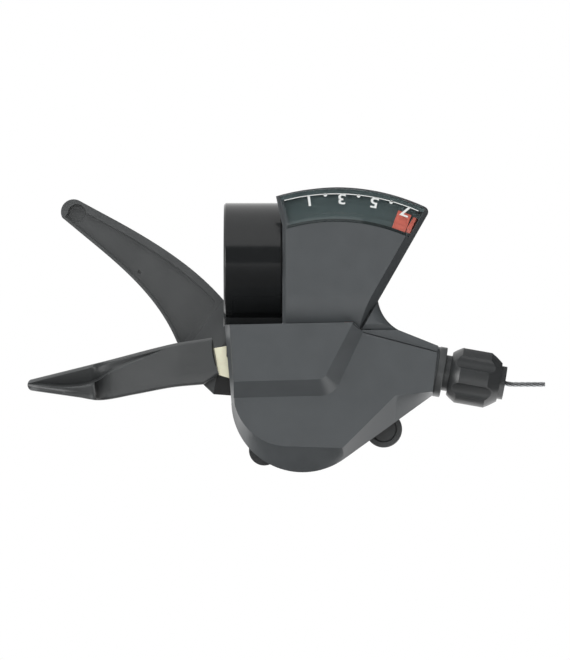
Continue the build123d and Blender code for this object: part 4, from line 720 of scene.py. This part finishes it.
# %% [markdown]
# ## The painted shadow in the seam under the ring
# A black strip lies behind the seam between the clamp's foot and the housing and turns up beside the ring.
# It is painted shade: it keeps the seam from showing white through and gives it a dark line. It could be a
# plain box, but it has to follow the corner, so it is one bent outline with a thickness.

# %% Lay the seam's painted shadow
# The black strip paints the seam's shadow. Its outline runs along the seam and up beside the ring.
SEAM_SHADOW_OUTLINE = ((-7.05, -15.8), (-2.0, -15.8), (-2.0, -14.9), (-6.5, -14.9), (-6.5, -13.7), (-7.05, -13.7))
SEAM_SHADOW_FRONT = 0.5
SEAM_SHADOW_BACK = 3.5

seam_shadow_ends = []
for depth in (SEAM_SHADOW_FRONT, SEAM_SHADOW_BACK):
    seam_shadow_ends.append([Vector((x, depth, z)) * MM for x, z in SEAM_SHADOW_OUTLINE])
seam_shadow_mesh = skin("seam_shadow_strip", seam_shadow_ends)
seam_shadow_mesh.shade_flat()
add_piece("seam_shadow_strip", seam_shadow_mesh, moulded_black, "root")
print("seal faces:", len(seam_shadow_mesh.polygons))

# %% [markdown]
# ## The dial
# The seven gears stand at even steps on an arc about the needle's axis, with the top gear at the right, where
# the needle rests. Each mark could have typed places, but the print and the lens share the same axis, so two
# short functions place everything by radius and angle.

# %% Measure the dial
DIAL_AXIS = Vector((19.9, -33.1)) * MM
GEAR_ANGLE = 28.0 / 6
TOP_GEAR = 7
TOP_GEAR_ANGLE = 69.7
DOTTED_GEARS = (2, 4, 6)
NUMBERED_GEARS = (1, 3, 5, 7)
LINE_R = 49.1 * MM
LINE_WIDE = 0.2 * MM
LINE_ENDS = (66.4, 104.6)
LINE_STEPS = 60
NUMBER_HIGH = 2.5 * MM
NUMBER_WIDEN = 1.3
NUMBER_BOLD = 0.015
NUMBER_R = LINE_R - NUMBER_HIGH / 2
DOT_R = 0.42 * MM
DOT_STEPS = 20
INK_THICK = 0.02 * MM
INK_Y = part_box("indicator_window")[0][1] - INK_THICK


def gear_angle(gear):
    """The angle of a gear's mark about the needle's axis, in degrees."""
    return TOP_GEAR_ANGLE + (TOP_GEAR - gear) * GEAR_ANGLE


def on_dial(radius, angle):
    """A point on the printed face."""
    turn = math.radians(angle)
    return Vector((DIAL_AXIS.x + radius * math.cos(turn), INK_Y, DIAL_AXIS.y + radius * math.sin(turn)))


print("gear 1 at", round(gear_angle(1), 1), "degrees")

# %% [markdown]
# The lens is a bent bar of clear acrylic: flat in front, with a fine bead along its middle and a facet that
# slopes down to the fan's face. Its right end is cut on the slope of the fan's edge. It could be dressed as
# the solid it is, but glass that lies exactly on its ledge shows dark blotches, so it is modelled again with
# a hair of air behind. It casts no shadow, because clear plastic hardly does.

# %% Model the lens
LENS_AIR = 0.06 * MM
LENS_LOW, LENS_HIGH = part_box("indicator_window")
LENS_FRONT = LENS_LOW[1]
LENS_BACK = LENS_HIGH[1] - LENS_AIR
LENS_OUTER_R = LENS_HIGH[2] - DIAL_AXIS.y
LENS_INNER_R = 42.45 * MM
FACET_WIDE = 2.1 * MM
FACET_DEEP = 0.9 * MM
BEAD_R = LENS_INNER_R + FACET_WIDE
BEAD_HALF = 0.14 * MM
BEAD_HIGH = 0.15 * MM
BEAD_TURNS = range(0, 181, 30)
LENS_EDGE = 0.15 * MM
LENS_EDGE_SHARE = 0.3
LENS_FOOT = 0.1 * MM
LEFT_FOOT = Vector((7.93, 8.8)) * MM
LEFT_HEAD = Vector((6.43, 15.77)) * MM
RIGHT_FOOT = Vector((30.0, -9.6)) * MM
RIGHT_ANGLE = math.radians(60.2)
RIGHT_SETBACK = 2.7 * MM
RIGHT_SLOPE = 1.5
LENS_STEPS = 72
LENS_SHARP = math.radians(22)


def line_angle(radius, point, along):
    """The angle at which a circle about the needle's axis meets a line that runs outward."""
    offset = point - DIAL_AXIS
    along = along.normalized()
    near = offset.dot(along)
    reach = math.sqrt(near * near - offset.length_squared + radius * radius)
    spot = offset + along * (reach - near)
    return math.atan2(spot.y, spot.x)


def lens_profile():
    """The lens's section: pairs of radius and depth."""
    corner = LENS_EDGE_SHARE * LENS_EDGE
    facet_foot = LENS_FRONT + FACET_DEEP
    profile = [
        (LENS_OUTER_R, LENS_BACK),
        (LENS_OUTER_R, LENS_FRONT + LENS_EDGE),
        (LENS_OUTER_R - corner, LENS_FRONT + corner),
        (LENS_OUTER_R - LENS_EDGE, LENS_FRONT),
    ]
    for turn in BEAD_TURNS:
        a = math.radians(turn)
        profile.append((BEAD_R + BEAD_HALF * math.cos(a), LENS_FRONT - BEAD_HIGH * math.sin(a)))
    profile += [
        (LENS_INNER_R + LENS_FOOT, facet_foot - LENS_FOOT / 2),
        (LENS_INNER_R, facet_foot + LENS_FOOT),
        (LENS_INNER_R, LENS_BACK),
    ]
    return profile


def bent(profile, share):
    """A profile of radius and depth at a share of the way from the lens's left end to its right end."""
    section = []
    right_way = Vector((math.cos(RIGHT_ANGLE), math.sin(RIGHT_ANGLE)))
    inward = Vector((-right_way.y, right_way.x))
    for radius, depth in profile:
        setback = RIGHT_SETBACK - (depth - LENS_FRONT) / RIGHT_SLOPE
        left = line_angle(radius, LEFT_FOOT, LEFT_HEAD - LEFT_FOOT)
        right = line_angle(radius, RIGHT_FOOT + inward * setback, right_way)
        turn = left + (right - left) * share
        x = DIAL_AXIS.x + radius * math.cos(turn)
        section.append((x, depth, DIAL_AXIS.y + radius * math.sin(turn)))
    return section


def bent_bar(mesh_name, profile):
    """A closed bar with a profile, bent along the whole lens."""
    return skin(mesh_name, [bent(profile, step / LENS_STEPS) for step in range(LENS_STEPS + 1)])


lens_mesh = bent_bar("dial_lens", lens_profile())
lens_mesh.set_sharp_from_angle(angle=LENS_SHARP)
dial_lens = add_piece("dial_lens", lens_mesh, window_clear, "root")
dial_lens.visible_shadow = False
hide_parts("indicator_window")
print("lens faces:", len(lens_mesh.polygons))

# %% [markdown]
# The back of the lens is masked with dark ink along both long edges, so that the grey ledge it sits on
# doesn't show through. The ledge could be painted instead, but it is part of the grey housing, so each mask
# is a thin bar with the lens's own bend, in the hair of air behind it.

# %% Mask the edges of the lens
MASK_GAP = 0.02 * MM
MASK_THICK = 0.02 * MM
MASK_FRONT = LENS_BACK + MASK_GAP
MASK_BACK = MASK_FRONT + MASK_THICK
MASK_INNER_WIDE = 0.95 * MM
MASK_OUTER_WIDE = 1.0 * MM

mask_ink = moulded("mask_ink", (0.02, 0.025, 0.026), 0.06, (0.5, 0.58), 0.1 * MM, 0.002 * MM, DULL)
MASKS = (
    ("lens_mask_inner", LENS_INNER_R, LENS_INNER_R + MASK_INNER_WIDE, mask_ink),
    ("lens_mask_outer", LENS_OUTER_R - MASK_OUTER_WIDE, LENS_OUTER_R, dial_black),
)
for name, inner, outer, finish in MASKS:
    profile = [(outer, MASK_BACK), (outer, MASK_FRONT), (inner, MASK_FRONT), (inner, MASK_BACK)]
    mask_mesh = bent_bar(name, profile)
    mask_mesh.shade_flat()
    add_piece(name, mask_mesh, finish, "root")
    print(name, "faces:", len(mask_mesh.polygons))

# %% [markdown]
# ## The print on the dial
# The scale is printed in white on the lens: an arc, the odd gears as numbers that hang from it upside down,
# and a dot for each even gear. It could be a picture on the surface, but thin ink with its own edge stays
# sharp from any distance, so each mark is a flat mesh.

# %% Draw the marks
ink = bmesh.new()
line_inner = []
line_outer = []
for step in range(LINE_STEPS + 1):
    angle = LINE_ENDS[0] + (LINE_ENDS[1] - LINE_ENDS[0]) * step / LINE_STEPS
    line_inner.append(ink.verts.new(on_dial(LINE_R - LINE_WIDE / 2, angle)))
    line_outer.append(ink.verts.new(on_dial(LINE_R + LINE_WIDE / 2, angle)))
for step in range(LINE_STEPS):
    ink.faces.new((line_inner[step], line_inner[step + 1], line_outer[step + 1], line_outer[step]))
for gear in DOTTED_GEARS:
    middle = on_dial(LINE_R - LINE_WIDE, gear_angle(gear))
    rim = []
    for step in range(DOT_STEPS):
        turn = 2 * math.pi * step / DOT_STEPS
        rim.append(ink.verts.new(middle + Vector((math.cos(turn), 0, math.sin(turn))) * DOT_R))
    ink.faces.new(rim)
print("ink faces:", len(ink.faces))

# %% [markdown]
# The numbers are plain figures. They could be drawn stroke by stroke, but a filled type outline already has
# the right curves. It is made a little bolder and wider, and turned to hang from the line.

# %% Set the numbers
def number_mesh(text):
    """The outline of a number, filled, about its own middle and one unit high."""
    curve = bpy.data.curves.new("number", "FONT")
    curve.body = text
    curve.offset = NUMBER_BOLD
    curve.align_x = "CENTER"
    holder = bpy.data.objects.new("number", curve)
    mesh = bpy.data.meshes.new_from_object(holder)
    bpy.data.objects.remove(holder)
    heights = [vertex.co.y for vertex in mesh.vertices]
    low, high = min(heights), max(heights)
    to_unit = Matrix.Scale(1 / (high - low), 4)
    widen = Matrix.Scale(NUMBER_WIDEN, 4, (1, 0, 0))
    to_middle = Matrix.Translation((0, -(low + high) / 2, 0))
    mesh.transform(to_unit @ widen @ to_middle)
    return mesh


for gear in NUMBERED_GEARS:
    angle = gear_angle(gear)
    outward = on_dial(1, angle) - on_dial(0, angle)
    upright = -outward
    along = Vector((upright.z, 0, -upright.x))
    middle = on_dial(NUMBER_R, angle)
    place = Matrix((along, upright, along.cross(upright))).transposed().to_4x4()
    mesh = number_mesh(str(gear))
    mesh.transform(Matrix.Translation(middle) @ place @ Matrix.Scale(NUMBER_HIGH, 4))
    ink.from_mesh(mesh)
    bpy.data.meshes.remove(mesh)
bmesh.ops.recalc_face_normals(ink, faces=ink.faces)
print("ink faces with numbers:", len(ink.faces))

# %% [markdown]
# Ink is matt, and pad print is never quite even: a faint mottle keeps it from looking like paper.

# %% Print the dial
dial_ink = moulded("dial_ink", (0.7, 0.72, 0.71), 0.04, (0.45, 0.55), 0.05 * MM, 0.001 * MM)
print_mesh = bpy.data.meshes.new("dial_print")
ink.to_mesh(print_mesh)
ink.free()
print_mesh.materials.append(dial_ink)
dial_print = bpy.data.objects.new("dial_print", print_mesh)
scene.collection.objects.link(dial_print)
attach(dial_print, "root")
print("dial print:", len(print_mesh.polygons), "faces")

# %% [markdown]
# ## The wire
# A gear wire is laid up from seven strands that twist round each other, and its cut end shows them. It could
# be a smooth tube with a bump, but a bump has no outline, so each strand is a thin tube on a helix round the
# wire's own path. The path is the solid's: round the drum, straight through the adjuster, and level at its
# free end.

# %% Follow the wire's path
DRUM_AXIS = Vector((11.9, -33.6))
WIRE_R = 0.6
WIND_R = 12.6
WIND_START = 126
WIND_END = 80
WIRE_RUN = 48.2
WIRE_BEND_R = 6.0
WIRE_TAIL = 7.6
WIRE_Y = -9.2
WIRE_STEP = 0.5
WIND_STEP = 2
LEAVING = Vector((math.sin(math.radians(WIND_END)), -math.cos(math.radians(WIND_END))))


def wire_path():
    """Points along the middle of the wire, from the drum to the free end."""
    path = []
    for turn in range(WIND_START, WIND_END, -WIND_STEP):
        a = math.radians(turn)
        path.append(DRUM_AXIS + Vector((math.cos(a), math.sin(a))) * WIND_R)
    a = math.radians(WIND_END)
    start = DRUM_AXIS + Vector((math.cos(a), math.sin(a))) * WIND_R
    count = round(WIRE_RUN / WIRE_STEP)
    for step in range(count + 1):
        path.append(start + LEAVING * WIRE_RUN * step / count)
    bend = path[-1]
    centre = bend + Vector((-LEAVING.y, LEAVING.x)) * WIRE_BEND_R
    for turn in range(WIND_END - 90, 1, WIND_STEP):
        a = math.radians(turn - 90)
        path.append(centre + Vector((math.cos(a), math.sin(a))) * WIRE_BEND_R)
    level_start = path[-1]
    count = round(WIRE_TAIL / WIRE_STEP)
    for step in range(1, count + 1):
        path.append(level_start + Vector((1, 0)) * WIRE_TAIL * step / count)
    return path


wire_points = wire_path()
print("wire points:", len(wire_points))

# %% [markdown]
# Six strands turn round the middle one, once for each lay length, which is seven and a half times the wire's
# thickness. A cast head holds the wire in the drum. A curve with a round bevel could make a strand too, but
# rings of points keep every strand at its true place in the lay.

# %% Lay the strands
STRAND_R = 0.2
STRAND_SIDES = 8
STRAND_COUNT = 6
LAY_LENGTH = 9.0
HEAD_R = 2.0
HEAD_LONG = 4.0
HEAD_SIDES = 32
WIRE_SHARP = math.radians(60)
TO_FRONT = Vector((0, -1, 0))


def ring_round(middle, side, radius, count):
    """Points on a circle about middle, in the plane of side and the front."""
    ring = []
    for corner in range(count):
        a = 2 * math.pi * corner / count
        ring.append((middle + (side * math.cos(a) + TO_FRONT * math.sin(a)) * radius) * MM)
    return ring


def strand_tube(path, orbit, phase):
    """Rings of a strand that circles a path at a distance, one turn for each lay length."""
    rings = []
    travelled = 0.0
    for index, spot in enumerate(path):
        ahead = path[min(index + 1, len(path) - 1)] - path[max(index - 1, 0)]
        ahead.normalize()
        if index:
            travelled += (spot - path[index - 1]).length
        side = Vector((-ahead.y, 0, ahead.x))
        a = phase + 2 * math.pi * travelled / LAY_LENGTH
        middle = Vector((spot.x, WIRE_Y, spot.y)) + (side * math.cos(a) + TO_FRONT * math.sin(a)) * orbit
        rings.append(ring_round(middle, side, STRAND_R, STRAND_SIDES))
    return rings


def wire_head():
    """Rings of the cast head, a short cylinder that points back from the start of the wire."""
    start = Vector((wire_points[0].x, WIRE_Y, wire_points[0].y))
    a = math.radians(WIND_START)
    back = Vector((-math.sin(a), 0, math.cos(a)))
    side = Vector((math.cos(a), 0, math.sin(a)))
    return [ring_round(start + back * reach, side, HEAD_R, HEAD_SIDES) for reach in (0, HEAD_LONG)]


tubes = [wire_head(), strand_tube(wire_points, 0, 0)]
for index in range(STRAND_COUNT):
    tubes.append(strand_tube(wire_points, WIRE_R - STRAND_R, 2 * math.pi * index / STRAND_COUNT))
strands = bmesh.new()
for tube in tubes:
    tube_mesh = skin("strand", tube)
    strands.from_mesh(tube_mesh)
    bpy.data.meshes.remove(tube_mesh)
wire_mesh = bpy.data.meshes.new("wire_strands")
strands.to_mesh(wire_mesh)
strands.free()
wire_mesh.shade_smooth()
wire_mesh.set_sharp_from_angle(angle=WIRE_SHARP)
wire_strands = add_piece("wire_strands", wire_mesh, cable_steel, "root")
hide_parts("inner_cable")
print("strand faces:", len(wire_mesh.polygons))
